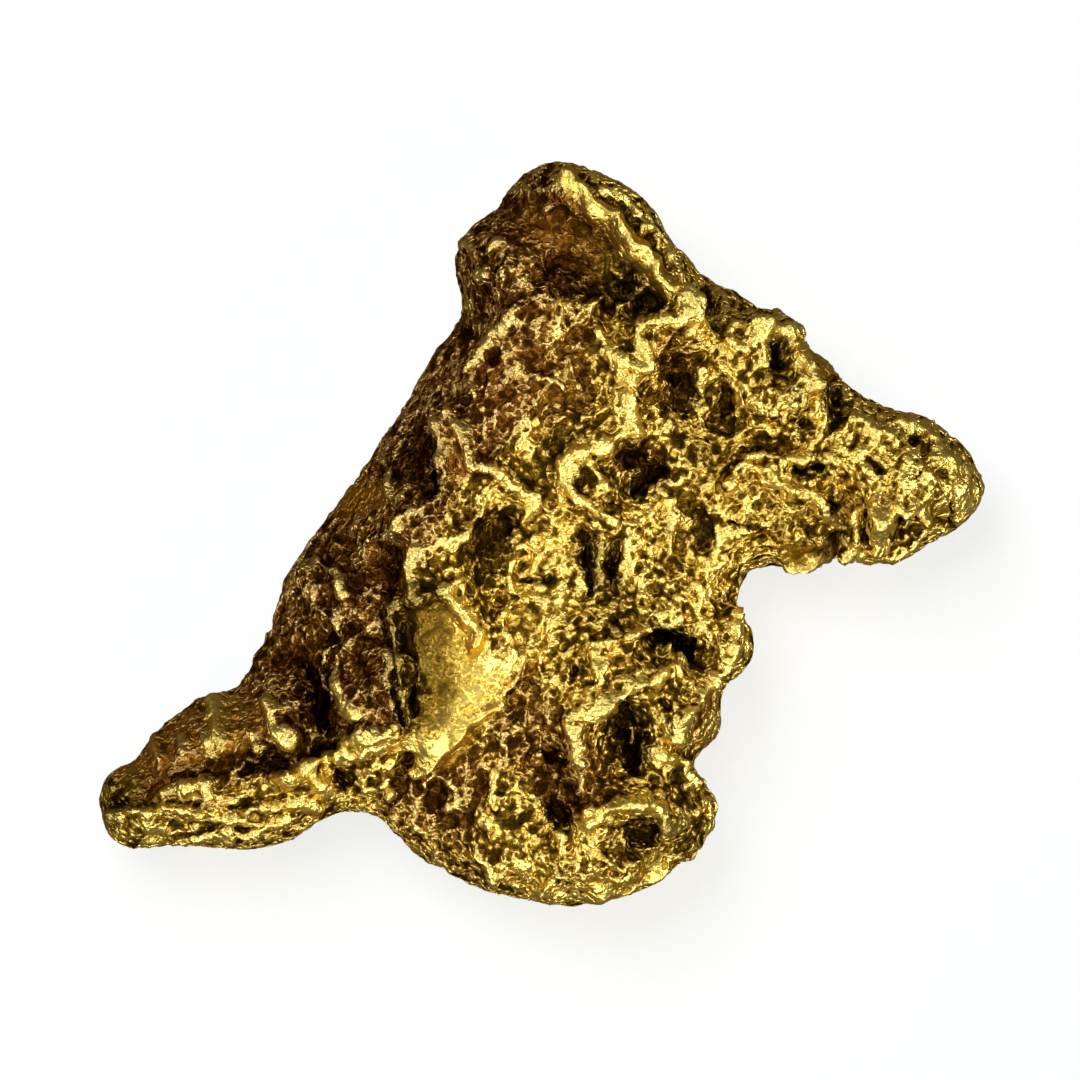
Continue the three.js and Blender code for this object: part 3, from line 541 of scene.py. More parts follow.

# %% [markdown]
# ## Where the skin is worn, and where highlights are painted
# Crests and open faces are rubbed smooth, while hollows keep their grain. A worn patch loses its relief.
# A polished patch is partly polish and partly a painted highlight: it shows more bright metal but keeps
# its relief. Both could be brushed on by hand in Blender, but a brush can't be written down, so they
# are patches in plan, set down in the same way as the strokes: a name, a width, a strength and a line.

# %% List the worn patches and the polished ones with a painted highlight
WORN = [
    ("dish", 1.2, 0.4, [(0.0, 7.6), (1.4, 7.2)]),
    ("head crest", 0.55, 0.76, [(0.75, 8.5), (1.7, 7.75), (2.3, 7.0), (3.1, 6.2)]),
    ("thumb facet", 1.05, 1.0, [(-2.6, -2.3), (-2.1, -3.4), (-1.7, -3.8), (-2.5, -5.0)]),
    ("foot slope", 0.95, 0.65, [(-9.8, -5.9), (-8.6, -5.0), (-7.4, -4.6)]),
    ("arm tip", 0.6, 0.2, [(10.1, 2.0), (10.4, 1.0)]),
    ("foot band", 0.7, 0.2, [(-10.2, -7.1), (-8.4, -6.9), (-6.4, -6.6)]),
    ("beside the hook", 0.4, 0.4, [(-2.1, 2.5), (-2.0, 1.6)]),
    ("shoulder slope", 0.4, 0.9, [(6.8, 4.4), (7.2, 4.1)]),
    ("flank band", 0.45, 0.8, [(-5.0, 0.75), (-4.0, 1.0)]),
    ("beside the thin crest", 0.3, 0.8, [(-3.3, 0.0), (-3.3, -1.3)]),
    ("right slope", 0.5, 0.4, [(4.2, -4.0), (4.0, -5.0)]),
    ("bowl arc", 0.25, 0.4, [(1.3, -7.05), (2.0, -6.7), (2.8, -6.75)]),
    ("bowl side", 0.35, 0.9, [(2.9, -8.1), (2.4, -8.6)]),
    ("lobe slope", 0.35, 0.8, [(1.3, -8.8), (2.2, -8.8)]),
    ("neck patch", 0.35, 0.35, [(0.3, 3.5), (0.8, 3.6)]),
    ("crater side", 0.3, 0.7, [(9.4, 0.65), (9.9, 0.65)]),
    ("inner lobe", 0.35, 0.8, [(6.3, -0.5), (7.2, -0.5)]),
    ("middle slope", 0.45, 0.3, [(-0.4, -2.2), (-0.3, -3.4)]),
]
# Polished patches, partly polish and partly a painted highlight that makes the skin brighter.
POLISH_AND_PAINTED_HIGHLIGHT = [
    ("foot band", 0.7, 0.12, [(-10.2, -7.1), (-8.4, -6.9), (-6.4, -6.6)]),
    ("head crest", 0.3, 0.55, [(0.65, 8.6), (1.7, 7.75), (2.3, 7.05), (3.05, 6.25), (3.85, 5.5)]),
    ("wall", 0.26, 0.4, [(3.9, 5.4), (2.8, 5.2), (2.6, 4.3), (2.2, 3.2)]),
    ("shoulder crest", 0.28, 0.8, [(5.5, 5.1), (6.15, 4.9), (6.7, 3.6)]),
    ("arm tip", 0.7, 0.35, [(9.6, 2.5), (10.3, 2.0), (10.6, 1.1)]),
    ("back of the arm", 0.7, 0.4, [(7.4, 2.6), (8.9, 2.2), (9.2, 1.5)]),
    ("inside of the arm", 0.8, 0.35, [(5.6, 0.9), (6.4, 0.6), (8.2, 1.3)]),
    ("curled ridge", 0.26, 0.4, [(1.7, 2.3), (0.8, 1.9), (0.7, 1.2), (1.4, 0.5)]),
    ("middle", 1.0, 0.6, [(-0.2, 0.2), (0.0, -1.8), (-0.3, -2.4)]),
    ("right of the middle", 0.9, 0.3, [(2.6, 0.4), (4.2, -0.4)]),
    ("rolled band", 0.55, 1.0, [(-3.1, -5.3), (-2.2, -4.6), (-1.3, -3.9), (-1.0, -3.2)]),
    ("double fold", 0.16, 0.6, [(-3.65, -1.9), (-3.5, -3.3), (-3.3, -4.6)]),
    ("thumb ridge", 0.3, 0.9, [(-2.3, -1.5), (-1.6, -2.2), (-1.5, -2.9)]),
    ("foot crest", 0.26, 0.9, [(-6.4, -6.0), (-5.1, -5.5), (-3.8, -4.9)]),
    ("foot knob", 0.34, 0.9, [(-5.6, -6.2)]),
    ("foot pads", 0.3, 0.6, [(-9.3, -6.6), (-8.2, -6.3), (-7.4, -6.4)]),
    ("slope band, long", 0.5, 0.7, [(-7.9, -4.1), (-8.05, -4.7), (-8.2, -5.2)]),
    ("slope band, right", 0.3, 0.5, [(-6.6, -4.3), (-6.5, -5.0)]),
    ("oval rim", 0.16, 0.7, [(-4.9, -3.2), (-4.95, -3.7), (-4.8, -4.2), (-4.45, -4.5)]),
    ("side crest", 0.3, 0.6, [(3.0, -5.5), (3.7, -6.1)]),
    ("bowl arc", 0.28, 0.8, [(1.3, -7.05), (2.0, -6.7), (2.9, -6.8)]),
    ("lobe foot", 0.4, 0.7, [(-1.0, -8.4), (0.4, -8.7), (1.6, -8.7)]),
]
print("worn patches:", len(WORN), "polished patches:", len(POLISH_AND_PAINTED_HIGHLIGHT))

# %% [markdown]
# ## Where brown reflection, dirt and shade are painted
# The head, the neck and the left flank get a painted brown tint that stands in for the warm brown they
# reflect, with smaller brown patches lower down. The deepest troughs are painted near black, partly as
# dirt and partly as painted shade. Dark paint also goes in every pit, as dirt and shade, and a little on
# the ground beside every crest, as painted shade, and the strokes already say where those are.

# %% List the painted brown reflection, and the dirt and painted shade
# A painted brown reflection, in patches: it stands in for the warm brown that the left side reflects.
BROWN_REFLECTION = [
    ("head", 2.6, 1.0, [(-1.2, 8.3), (-0.4, 7.4)]),
    ("head, low", 1.2, 0.8, [(0.2, 7.7), (0.7, 7.0)]),
    ("neck", 2.6, 1.0, [(-1.6, 5.6), (-1.4, 4.4), (-2.6, 3.0)]),
    ("neck, right", 1.3, 0.7, [(0.4, 5.0), (0.4, 3.6)]),
    ("flank", 3.2, 1.0, [(-4.4, 1.4), (-5.8, -1.6), (-8.6, -4.6)]),
    ("flank, low", 1.6, 1.0, [(-4.8, -2.0), (-4.6, -4.0)]),
    ("left ring", 1.3, 0.7, [(-3.0, -6.6), (-2.0, -6.4)]),
    ("lobe, lower left", 1.3, 0.45, [(-3.2, -7.0), (-1.8, -8.2)]),
    ("lobe, middle", 1.5, 0.7, [(-0.2, -5.0), (0.8, -6.0)]),
    ("middle slope", 0.8, 0.6, [(-0.4, -2.6), (-0.5, -3.6)]),
    ("right slope", 0.7, 0.5, [(4.1, -4.2), (4.0, -5.0)]),
    ("shoulder slope", 0.6, 0.5, [(6.8, 4.4), (7.2, 4.1)]),
    ("pit in the curl", 0.6, 0.5, [(2.2, 1.8), (2.9, 1.6)]),
    ("basin", 0.8, 0.5, [(3.3, 4.6), (3.4, 3.6)]),
]
# Dark patches, partly dirt and partly painted shade: the foot's valley, the hollow under the dish and the
# left of the thumb facet are painted shade.
SHADE_AND_DIRT = [
    ("dish", 1.4, 0.4, [(0.0, 7.7), (1.0, 7.3)]),
    ("beside the bowl", 0.9, 0.5, [(2.0, -7.8), (3.2, -7.5)]),
    ("basin", 1.0, 0.3, [(4.0, 4.2), (4.3, 3.0)]),
    ("under the dish", 0.9, 0.6, [(0.6, 6.7), (1.6, 6.3), (2.4, 5.9)]),
    ("pit in the curl", 0.6, 0.7, [(2.2, 2.0), (2.9, 1.6)]),
    ("basin, left", 0.5, 0.6, [(3.4, 4.0), (3.5, 3.2)]),
    ("trough", 0.55, 0.8, [(1.2, -0.3), (1.7, -1.2)]),
    ("hollow by the hook", 0.7, 0.8, [(-1.3, 0.3), (-1.5, -0.6)]),
    ("ledge side", 0.7, 0.7, [(-2.9, 2.2), (-2.7, 1.2)]),
    ("long pit", 0.7, 0.9, [(2.0, -4.4), (2.3, -5.4)]),
    ("round pit", 0.6, 0.6, [(0.4, -6.2), (0.6, -6.8)]),
    ("deep hole", 0.5, 0.9, [(3.0, -2.4), (3.6, -2.9)]),
    ("bowl", 0.5, 0.3, [(2.3, -7.5), (2.8, -7.4)]),
    ("right of the curl", 0.5, 0.4, [(3.6, 2.6), (3.9, 2.0)]),
    ("valley by the oval", 0.6, 0.8, [(-5.7, -3.4), (-5.4, -4.6)]),
    ("beside the thumb fold", 0.5, 0.9, [(-3.4, -1.2), (-3.3, -3.0), (-3.3, -4.6)]),
    ("foot valley", 0.4, 0.6, [(-10.6, -6.4), (-9.0, -5.95), (-7.0, -5.6), (-5.6, -5.3)]),
    ("foot tip", 0.6, 0.7, [(-10.9, -6.3), (-10.8, -7.0)]),
    ("thumb facet, left", 1.2, 1.0, [(-3.1, -1.9), (-3.0, -3.0), (-3.0, -4.2)]),
    ("arm, gully", 0.4, 0.6, [(7.4, 0.8), (7.4, -0.4)]),
    ("arm, hole", 0.4, 0.6, [(6.6, 1.6), (7.0, 1.7)]),
    ("arm, inner", 0.6, 0.4, [(5.6, 0.4), (6.2, 0.5)]),
    ("shoulder pocket", 0.5, 0.4, [(5.9, 4.7), (6.4, 3.0)]),
]
print("brown_patches:", len(BROWN_REFLECTION), "dirty patches:", len(SHADE_AND_DIRT))

# %% [markdown]
# ## Keep the patches on the points
# A patch becomes one number at each point, stored in the mesh as an attribute, so the relief and the
# finish can both read it. The flats that the nugget rests on are worn as well, and the last attribute
# tells how steep the skin is, because the outline should stay clean.

# %% Paint the points
PATCH_CORE = 0.5
# Pits are painted dark as dirt and shade, and the ground beside a crest as painted shade.
PIT_DIRT_AND_SHADE = 0.7
SKIRT_SHADE = 0.25
FLAT_HEIGHT = 0.05
BROWN_REFLECTION_FADES = (-0.6, 0.2)
STEEP = 0.5


def painted(patches):
    """The strongest of the patches at each point: full in a patch's core, and fading beside it."""
    amount = np.zeros(len(plan))
    for _, width, strength, line in patches:
        patch = ramp(0, PATCH_CORE, stroke_reach(plan, width, line))
        amount = np.maximum(amount, strength * patch)
    return amount


def store(mesh, name, values):
    """Keeps one number for each point of the mesh."""
    layer = mesh.attributes.get(name) or mesh.attributes.new(name, "FLOAT", "POINT")
    layer.data.foreach_set("value", values.astype(np.float32))


on_flat = 1 - ramp(0, FLAT_HEIGHT, folded[:, 2] / MM)
wear = np.maximum(painted(WORN) * upward, on_flat)
# The painted brown reflection, fading where the skin turns under.
reflected_brown = painted(BROWN_REFLECTION) * ramp(*BROWN_REFLECTION_FADES, facing[:, 2])
# Painted shade and dirt in the pits, and painted shade on the ground at the foot of each crest.
shade_and_dirt_by_strokes = np.maximum(PIT_DIRT_AND_SHADE * pits, SKIRT_SHADE * skirts) * (1 - crests)
store(skin.data, "worn", wear)
store(skin.data, "painted_brown_reflection", reflected_brown)
# The dirt and painted shade: listed patches, and the pits and the ground beside crests.
store(skin.data, "painted_shade_and_dirt", np.maximum(painted(SHADE_AND_DIRT), shade_and_dirt_by_strokes) * upward)
store(skin.data, "crest", crests * upward)
# Polish and painted highlight, kept off the underside.
store(skin.data, "polish_and_highlight", painted(POLISH_AND_PAINTED_HIGHLIGHT) * upward)
store(skin.data, "edge", 1 - ramp(0, STEEP, np.abs(facing[:, 2])))
print("worn:", round(float(wear.mean()), 3), "stained:", round(float(reflected_brown.mean()), 3))

# %% [markdown]
# ## Nodes written as sums
# A node tree is easier to read as arithmetic. A small class wraps a socket, so that adding or
# multiplying two of them adds a Math node, and one method adds any other node. The same class serves
# geometry trees and materials.

# %% A class for node trees
class Socket:
    """A socket that Python's operators work on."""

    def __init__(self, tree, socket):
        self.tree, self.socket = tree, socket

    def math(self, operation, *values):
        """A Math node on some values."""
        return self.tree.add("ShaderNodeMath", {"operation": operation}, dict(enumerate(values)))

    def __add__(self, other): return self.math("ADD", self, other)
    def __radd__(self, other): return self.math("ADD", other, self)
    def __sub__(self, other): return self.math("SUBTRACT", self, other)
    def __rsub__(self, other): return self.math("SUBTRACT", other, self)
    def __mul__(self, other): return self.math("MULTIPLY", self, other)
    def __rmul__(self, other): return self.math("MULTIPLY", other, self)
    def __truediv__(self, other): return self.math("DIVIDE", self, other)
    def __rtruediv__(self, other): return self.math("DIVIDE", other, self)
    def __pow__(self, other): return self.math("POWER", self, other)


class Tree:
    """A node tree that nodes are added to by type, settings and sockets."""

    def __init__(self, tree):
        self.tree = tree

    def add(self, kind, settings=None, sockets=None, out=0):
        """Adds a node, with its settings first, and gives back one of its outputs."""
        node = self.tree.nodes.new(kind)
        for name, value in (settings or {}).items():
            setattr(node, name, value)
        for name, value in (sockets or {}).items():
            self.feed(node.inputs[name], value)
        return Socket(self, node.outputs[out]) if len(node.outputs) else node

    def feed(self, socket, value):
        """Links a socket to another, or sets it to a plain value."""
        if isinstance(value, Socket):
            self.tree.links.new(value.socket, socket)
        else:
            socket.default_value = value

    def clamp01(self, value):
        """The value, cut off below 0 and above 1."""
        return self.add("ShaderNodeClamp", {}, {"Value": value})

    def between(self, value, low, high):
        """0 below low, 1 above high, and smooth between them."""
        sockets = {"Value": value, "From Min": low, "From Max": high}
        return self.add("ShaderNodeMapRange", {"interpolation_type": "SMOOTHSTEP"}, sockets)


print("node helpers ready")

# %% [markdown]
# ## The grain of the skin
# Waterworn gold has a skin of dimples, small folds and grains that follows the big folds. It repeats, so
# Geometry Nodes make it: noise gives the dimples, a small fold runs wherever another noise crosses its
# middle value, and rounded cells give the grains. Worn patches are left almost smooth and steep ones
# calmer. The sizes are the tree's inputs, in metres.

# %% Build the grain tree
FOLD_TURN = 20
FOLD_DRAW = (1.3, 0.75, 1.0)
GRAIN_ROUNDNESS = 0.35
GRAIN_MIDDLE = 0.45
STEEP_LOSS = 0.65
LEAST_DIMPLES = 0.1
LEAST_GRAIN = 0.05


def grain_tree():
    """Geometry nodes that press dimples, folds and grains into a skin along the way it faces."""
    tree = bpy.data.node_groups.new("nugget_grain", "GeometryNodeTree")
    tree.interface.new_socket("Geometry", in_out="INPUT", socket_type="NodeSocketGeometry")
    for name in ("Dimple Size", "Dimple Depth", "Fold Size", "Fold Width", "Fold Height", "Grain Size",
                 "Grain Height", "Seed"):
        tree.interface.new_socket(name, in_out="INPUT", socket_type="NodeSocketFloat")
    tree.interface.new_socket("Material", in_out="INPUT", socket_type="NodeSocketMaterial")
    tree.interface.new_socket("Geometry", in_out="OUTPUT", socket_type="NodeSocketGeometry")
    nodes = Tree(tree)
    inputs = tree.nodes.new("NodeGroupInput")
    given = {socket.name: Socket(nodes, socket) for socket in inputs.outputs if socket.name}
    place = nodes.add("GeometryNodeInputPosition")

    def scaled(size):
        return nodes.add("ShaderNodeVectorMath", {"operation": "SCALE"}, {0: place, "Scale": 1 / size})

    def noise(size, detail, shift):
        sockets = {"Vector": scaled(size), "W": given["Seed"] + shift, "Scale": 1.0, "Detail": detail}
        return nodes.add("ShaderNodeTexNoise", {"noise_dimensions": "4D"}, sockets)

    dimples = (noise(given["Dimple Size"], 2.0, 0.0) - 0.5) * given["Dimple Depth"]
    turned = nodes.add("ShaderNodeVectorRotate", {"rotation_type": "Z_AXIS"},
                       {"Vector": scaled(given["Fold Size"]), "Angle": math.radians(FOLD_TURN)})
    drawn = nodes.add("ShaderNodeVectorMath", {"operation": "MULTIPLY"}, {0: turned, 1: FOLD_DRAW})
    wave = nodes.add("ShaderNodeTexNoise", {"noise_dimensions": "4D"},
                     {"Vector": drawn, "W": given["Seed"] + 7.0, "Scale": 1.0, "Detail": 1.0}) - 0.5
    fold = nodes.clamp01(1 - wave.math("ABSOLUTE", wave) / given["Fold Width"])
    folds = fold * given["Fold Height"]
    cells = {"Vector": scaled(given["Grain Size"]), "W": given["Seed"], "Scale": 1.0,
             "Smoothness": GRAIN_ROUNDNESS}
    cell = nodes.add("ShaderNodeTexVoronoi", {"voronoi_dimensions": "4D", "feature": "SMOOTH_F1"}, cells)
    grains = (GRAIN_MIDDLE - cell) * given["Grain Height"]
    worn = nodes.add("GeometryNodeInputNamedAttribute", {"data_type": "FLOAT"}, {"Name": "worn"})
    edge = nodes.add("GeometryNodeInputNamedAttribute", {"data_type": "FLOAT"}, {"Name": "edge"})
    kept = (1 - worn) * (1 - STEEP_LOSS * edge)
    dimpled = dimples * (LEAST_DIMPLES + (1 - LEAST_DIMPLES) * kept)
    height = dimpled + (folds + grains) * (LEAST_GRAIN + (1 - LEAST_GRAIN) * kept)
    normal = nodes.add("GeometryNodeInputNormal")
    offset = nodes.add("ShaderNodeVectorMath", {"operation": "SCALE"}, {0: normal, "Scale": height})
    moved = nodes.add("GeometryNodeSetPosition", {}, {"Geometry": given["Geometry"], "Offset": offset})
    marked = nodes.add("GeometryNodeStoreNamedAttribute", {"data_type": "FLOAT", "domain": "POINT"},
                       {"Geometry": moved, "Name": "fold", "Value": fold * kept})
    real = nodes.add("GeometryNodeRealizeInstances", {}, {"Geometry": marked})
    done = nodes.add("GeometryNodeSetMaterial", {}, {"Geometry": real, "Material": given["Material"]})
    end = tree.nodes.new("NodeGroupOutput")
    tree.links.new(done.socket, end.inputs["Geometry"])
    return tree


GRAIN = {
    "Dimple Size": 0.8 * MM, "Dimple Depth": 0.45 * MM,
    "Fold Size": 0.65 * MM, "Fold Width": 0.08, "Fold Height": 0.1 * MM,
    "Grain Size": 0.24 * MM, "Grain Height": 0.04 * MM,
    "Seed": 3.0,
}
gold = bpy.data.materials.new("native_gold")
grain = grain_tree()
print("grain tree:", len(grain.nodes), "nodes")

# %% [markdown]
# ## Press the grain in
# The tree runs once, and its result is kept as a plain mesh. The folds and grains together would stand
# well over the top of the solid, so the heights are squeezed there: below a knee nothing changes, and
# above it the skin comes ever closer to a ceiling just over the solid's top.

# %% Press the grain into the skin
CEILING = 1.05
KNEE = 0.88


def run_tree(piece, tree, inputs):
    """Runs a geometry tree on a piece once and leaves the plain mesh it makes."""
    modifier = piece.modifiers.new(tree.name, "NODES")
    modifier.node_group = tree
    for item in tree.interface.items_tree:
        if item.in_out == "INPUT" and item.name in inputs:
            modifier[item.identifier] = inputs[item.name]
    seen = piece.evaluated_get(bpy.context.evaluated_depsgraph_get())
    mesh = bpy.data.meshes.new_from_object(seen)
    piece.modifiers.remove(modifier)
    piece.data = mesh


def under_top(heights):
    """Heights squeezed smoothly above a knee, so that no crest stands far over the solid's top."""
    knee = cad_high[2] * KNEE
    room = cad_high[2] * CEILING - knee
    over = np.maximum(heights - knee, 0) / room
    return np.minimum(heights, knee) + room * (1 - np.exp(-over))


run_tree(skin, grain, {**GRAIN, "Material": gold})
grained = points_of(skin.data)
grained[:, 2] = under_top(np.maximum(grained[:, 2], 0))
move_points(skin.data, grained)
print("grained:", len(skin.data.vertices), "points,", len(skin.data.polygons), "triangles")

# %% [markdown]
# ## Hollows and crests for the finish
# The finish paints hollows darker, as dirt and as painted shade, and crests brighter, as a painted
# highlight. How high each point stands over the smoothed skin says which it is, measured twice: against
# its near neighbours, for the grain, and against a wider stretch, for the folds. Each measure has a
# number of smoothing passes and the height in millimetres that counts as full.

# %% Measure hollows and crests
NEAR_PASSES, NEAR_FULL = 8, 0.05
WIDE_PASSES, WIDE_FULL = 70, 0.2
facing = normals_of(skin.data)
near_skin = relaxed(skin.data, grained, NEAR_PASSES)
wide_skin = relaxed(skin.data, near_skin, WIDE_PASSES)
near_height = ((grained - near_skin) * facing).sum(1) / MM
wide_height = ((grained - wide_skin) * facing).sum(1) / MM
store(skin.data, "near_height", np.clip(near_height / NEAR_FULL, -1, 1))
store(skin.data, "wide_height", np.clip(wide_height / WIDE_FULL, -1, 1))
print("near height spread:", round(near_height.std(), 4), "wide:", round(wide_height.std(), 4), "mm")

# %% [markdown]
# ## The finish of native gold
# Up close the skin is a crust of tiny bright flecks over dark gaps. On open ground they are short winding
# threads, and elsewhere round beads. On crests they close up into solid bright metal, a painted
# highlight, and in hollows they thin out, as dirt and painted shade. A painted brown reflection turns
# flecks and ground brown. A painted picture would not follow the relief, so all of it is worked out
# from the attributes and from noise in the piece's own coordinates.

# %% Start the gold's nodes
gold.use_nodes = True
gold.node_tree.nodes.clear()
nodes = Tree(gold.node_tree)
place = nodes.add("ShaderNodeTexCoord", out="Object")


def attribute(name):
    """A number that is stored on the points."""
    return nodes.add("ShaderNodeAttribute", {"attribute_name": name}, out="Fac")


def noise(size, detail, start=0.0, where=place):
    """Noise between 0 and 1 with spots of a size in metres. Another start gives other spots."""
    sockets = {"Vector": where, "W": start, "Scale": 1 / size, "Detail": detail}
    return nodes.add("ShaderNodeTexNoise", {"noise_dimensions": "4D"}, sockets)


worn, brown_reflected, shaded_and_dirty = attribute("worn"), attribute("painted_brown_reflection"), attribute("painted_shade_and_dirt")
near, wide = attribute("near_height"), attribute("wide_height")
crest, fold, polish_and_highlight = attribute("crest"), attribute("fold"), attribute("polish_and_highlight")
print("attributes:", [a.name for a in skin.data.attributes if a.data_type == "FLOAT"])

# %% [markdown]
# ## Threads and beads
# A thread runs where a noise crosses its middle value, and a bead is the middle of a rounded cell. Both
# are drawn on coordinates that a swirl has bent, so that no row or ring shows. Threads and beads mingle
# in patches, and skin under the painted brown reflection has mostly threads.

# %% Draw threads and beads
SWIRL, SWIRL_PULL = 0.25 * MM, 0.15 * MM
CLOUD, CLUMP, MINGLE = 1.3 * MM, 0.38 * MM, 0.7 * MM
THREAD, BEAD, GRIT = 0.25 * MM, 0.21 * MM, 0.09 * MM
BEAD_ROUNDNESS, BEAD_RADIUS, BEAD_RISE = 0.4, 0.22, 0.45
swirl = nodes.add("ShaderNodeTexNoise", {}, {"Vector": place, "Scale": 1 / SWIRL}, out=1)
bent = nodes.add("ShaderNodeVectorMath", {"operation": "MULTIPLY_ADD"},
                 {0: swirl, 1: (SWIRL_PULL,) * 3, 2: place})
cloudy = nodes.between(noise(CLOUD, 3.0, 4.0), 0.35, 0.65)
clump = noise(CLUMP, 2.0, 6.0)
grit = noise(GRIT, 1.0)
# The painted brown reflection, cloudy, and taken off crests and the painted highlight.
brown = nodes.clamp01(brown_reflected * (0.8 + 0.35 * cloudy) - crest ** 2 * 0.3 - polish_and_highlight * 0.9)
wave = noise(THREAD, 1.5, 2.0, bent) - 0.5
cell = nodes.add("ShaderNodeTexVoronoi", {"feature": "SMOOTH_F1"},
                 {"Vector": bent, "Scale": 1 / BEAD, "Smoothness": BEAD_ROUNDNESS})
beaded = nodes.between(noise(MINGLE, 1.0, 9.0), 0.4, 0.6) * (1 - brown * 0.6)
beads = (BEAD_RADIUS - cell) * BEAD_RISE * beaded
grains = beads - wave.math("ABSOLUTE", wave) * (1 - beaded)
print("nodes for threads and beads:", len(gold.node_tree.nodes))

# %% [markdown]
# ## Flecks, ground and gaps
# One number, the depth, says what each spot is. It is high on a thread or a bead and falls away beside
# it, and the cover lifts it or sinks it: crests and skin with a painted highlight are covered with
# flecks, and hollows, the dirt and painted shade and the painted brown reflection let more of the ground
# show. Over zero a spot is a fleck, a little below it is the ground under the flecks, and further down
# it is a dark gap, painted dark as dirt and as shade. The weights were found by trying.

# %% Sort the skin by depth
# Painted highlight and shade: the depth rises on crests, high spots, folds and highlighted patches and
# sinks in hollows and under the dirt and painted shade, so high skin is painted bright and low skin dark.
height = near * 0.12 + wide * 0.5 + crest ** 2 * 0.6 + (fold - 0.3) * 0.2
height = height - shaded_and_dirty * 0.4 + polish_and_highlight * 0.4
clumped = (clump - 0.5) * (1.6 + brown * 1.8)
cover = 0.8 + height + (cloudy - 0.5) * 0.15 + clumped + worn * 0.25 - brown * 0.42
depth = cover * 0.14 + grains + (grit - 0.5) * 0.09
fleck = nodes.between(depth, -0.01, 0.025)
ground = nodes.between(depth, -0.11, 0.0)
print("nodes with the depth:", len(gold.node_tree.nodes))

# %% [markdown]
# ## Colours
# Clean flecks are bright yellow where they stand high and richer where they lie low, a painted
# highlight on the high spots. Under the painted brown reflection they are cream and pale brown over dark
# brown. The dirt and painted shade multiply what is there and darken it.

# %% Mix the colours
BRIGHT_GOLD = (0.97, 0.76, 0.20, 1)
RICH_GOLD = (0.78, 0.51, 0.07, 1)
DEEP_GOLD = (0.26, 0.145, 0.010, 1)
# Cream, pale brown, dark brown and red brown are the colours of the painted brown reflection.
CREAM = (0.68, 0.48, 0.16, 1)
PALE_BROWN = (0.40, 0.19, 0.04, 1)
DARK_REFLECTED_BROWN = (0.22, 0.085, 0.012, 1)
RED_REFLECTED_BROWN = (0.46, 0.195, 0.020, 1)
SHADE_AND_GRIME = (0.22, 0.18, 0.12, 1)
# Near-black gap colours: dirt and painted shade in the crevices between flecks.
OLIVE_DIRT_AND_SHADE = (0.035, 0.018, 0.002, 1)
RED_DIRT_AND_SHADE = (0.035, 0.010, 0.001, 1)


def mixed(a, b, amount, blend="MIX"):
    """One colour turned into another by an amount between 0 and 1."""
    settings = {"data_type": "RGBA", "blend_type": blend}
    return nodes.add("ShaderNodeMix", settings, {0: amount, 6: a, 7: b}, out=2)


# Lit is a painted highlight: high flecks get bright gold, and cream under the brown; low flecks get richer
# gold, and pale brown under the brown.
lit = nodes.clamp01(0.5 + height + cloudy * 0.3)
tops = mixed(mixed(RICH_GOLD, BRIGHT_GOLD, lit), mixed(PALE_BROWN, CREAM, lit), brown)
# Worn skin and the painted highlight make the ground a richer gold.
yellow = mixed(DEEP_GOLD, RICH_GOLD, nodes.clamp01(worn * 0.6 + polish_and_highlight * 0.5))
# Under the painted brown reflection the ground turns dark brown, and red brown where it is worn.
base = mixed(yellow, mixed(DARK_REFLECTED_BROWN, RED_REFLECTED_BROWN, worn), brown)
# The gaps are painted dark as dirt and as the shade in the crevices.
gaps = mixed(OLIVE_DIRT_AND_SHADE, RED_DIRT_AND_SHADE, brown)
under_flecks = mixed(gaps, base, nodes.clamp01(ground + worn * 0.5))
clean = mixed(under_flecks, tops, fleck * (1 - worn * 0.5))
# Painted shade and dirt multiply the colour down towards a dark grey brown.
colour = mixed(clean, SHADE_AND_GRIME, shaded_and_dirty * 0.85, "MULTIPLY")
print("bright gold:", BRIGHT_GOLD[:3], "stained ground:", DARK_REFLECTED_BROWN[:3])

# %% [markdown]
# ## Bump and shader
# The threads and beads, a tenth of a millimetre across, are too small for the mesh, so their depth is
# also the bump, with some grit and less of it where the skin is worn. Gold seen at a glancing angle
# keeps its warm tint, which is the metal's edge colour.

# %% Finish the gold
EDGE_GOLD = (0.90, 0.62, 0.22, 1)
BUMP_HEIGHT = 0.085 * MM
relief = (nodes.between(depth, -0.08, 0.1) + (grit - 0.5) * 0.5) * (1 - worn * 0.6)
bump = nodes.add("ShaderNodeBump", {}, {"Strength": 1.0, "Distance": BUMP_HEIGHT, "Height": relief})
roughness = nodes.clamp01(0.45 - 0.15 * fleck + 0.08 * grit)
metal = nodes.add("ShaderNodeBsdfPrincipled", {}, {
    "Base Color": colour, "Metallic": 1.0, "Roughness": roughness, "Normal": bump,
    "Specular Tint": EDGE_GOLD})
nodes.add("ShaderNodeOutputMaterial", {}, {"Surface": metal})
skin.data.materials.clear()
skin.data.materials.append(gold)
skin.data.shade_smooth()
print("gold:", len(gold.node_tree.nodes), "nodes")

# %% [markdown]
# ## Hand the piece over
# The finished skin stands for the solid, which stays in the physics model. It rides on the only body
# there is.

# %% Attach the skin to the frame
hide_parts("nugget")
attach(skin, "root")
print("skin stands for:", "nugget")

# %% [markdown]
# ## The table
# A pale, plain table, far larger than the nugget. It glows, slightly blue, which keeps it white beside
# warm metal and its shadow pale. It is left out of mirror reflections, because otherwise the sides of
# the metal would all turn white.

# %% Lay the table
TABLE_SIDE = 2.0
TABLE_WHITE = (0.9, 0.9, 0.92, 1)
TABLE_GLOW = (0.91, 0.955, 1, 1)
TABLE_GLOW_STRENGTH = 0.78


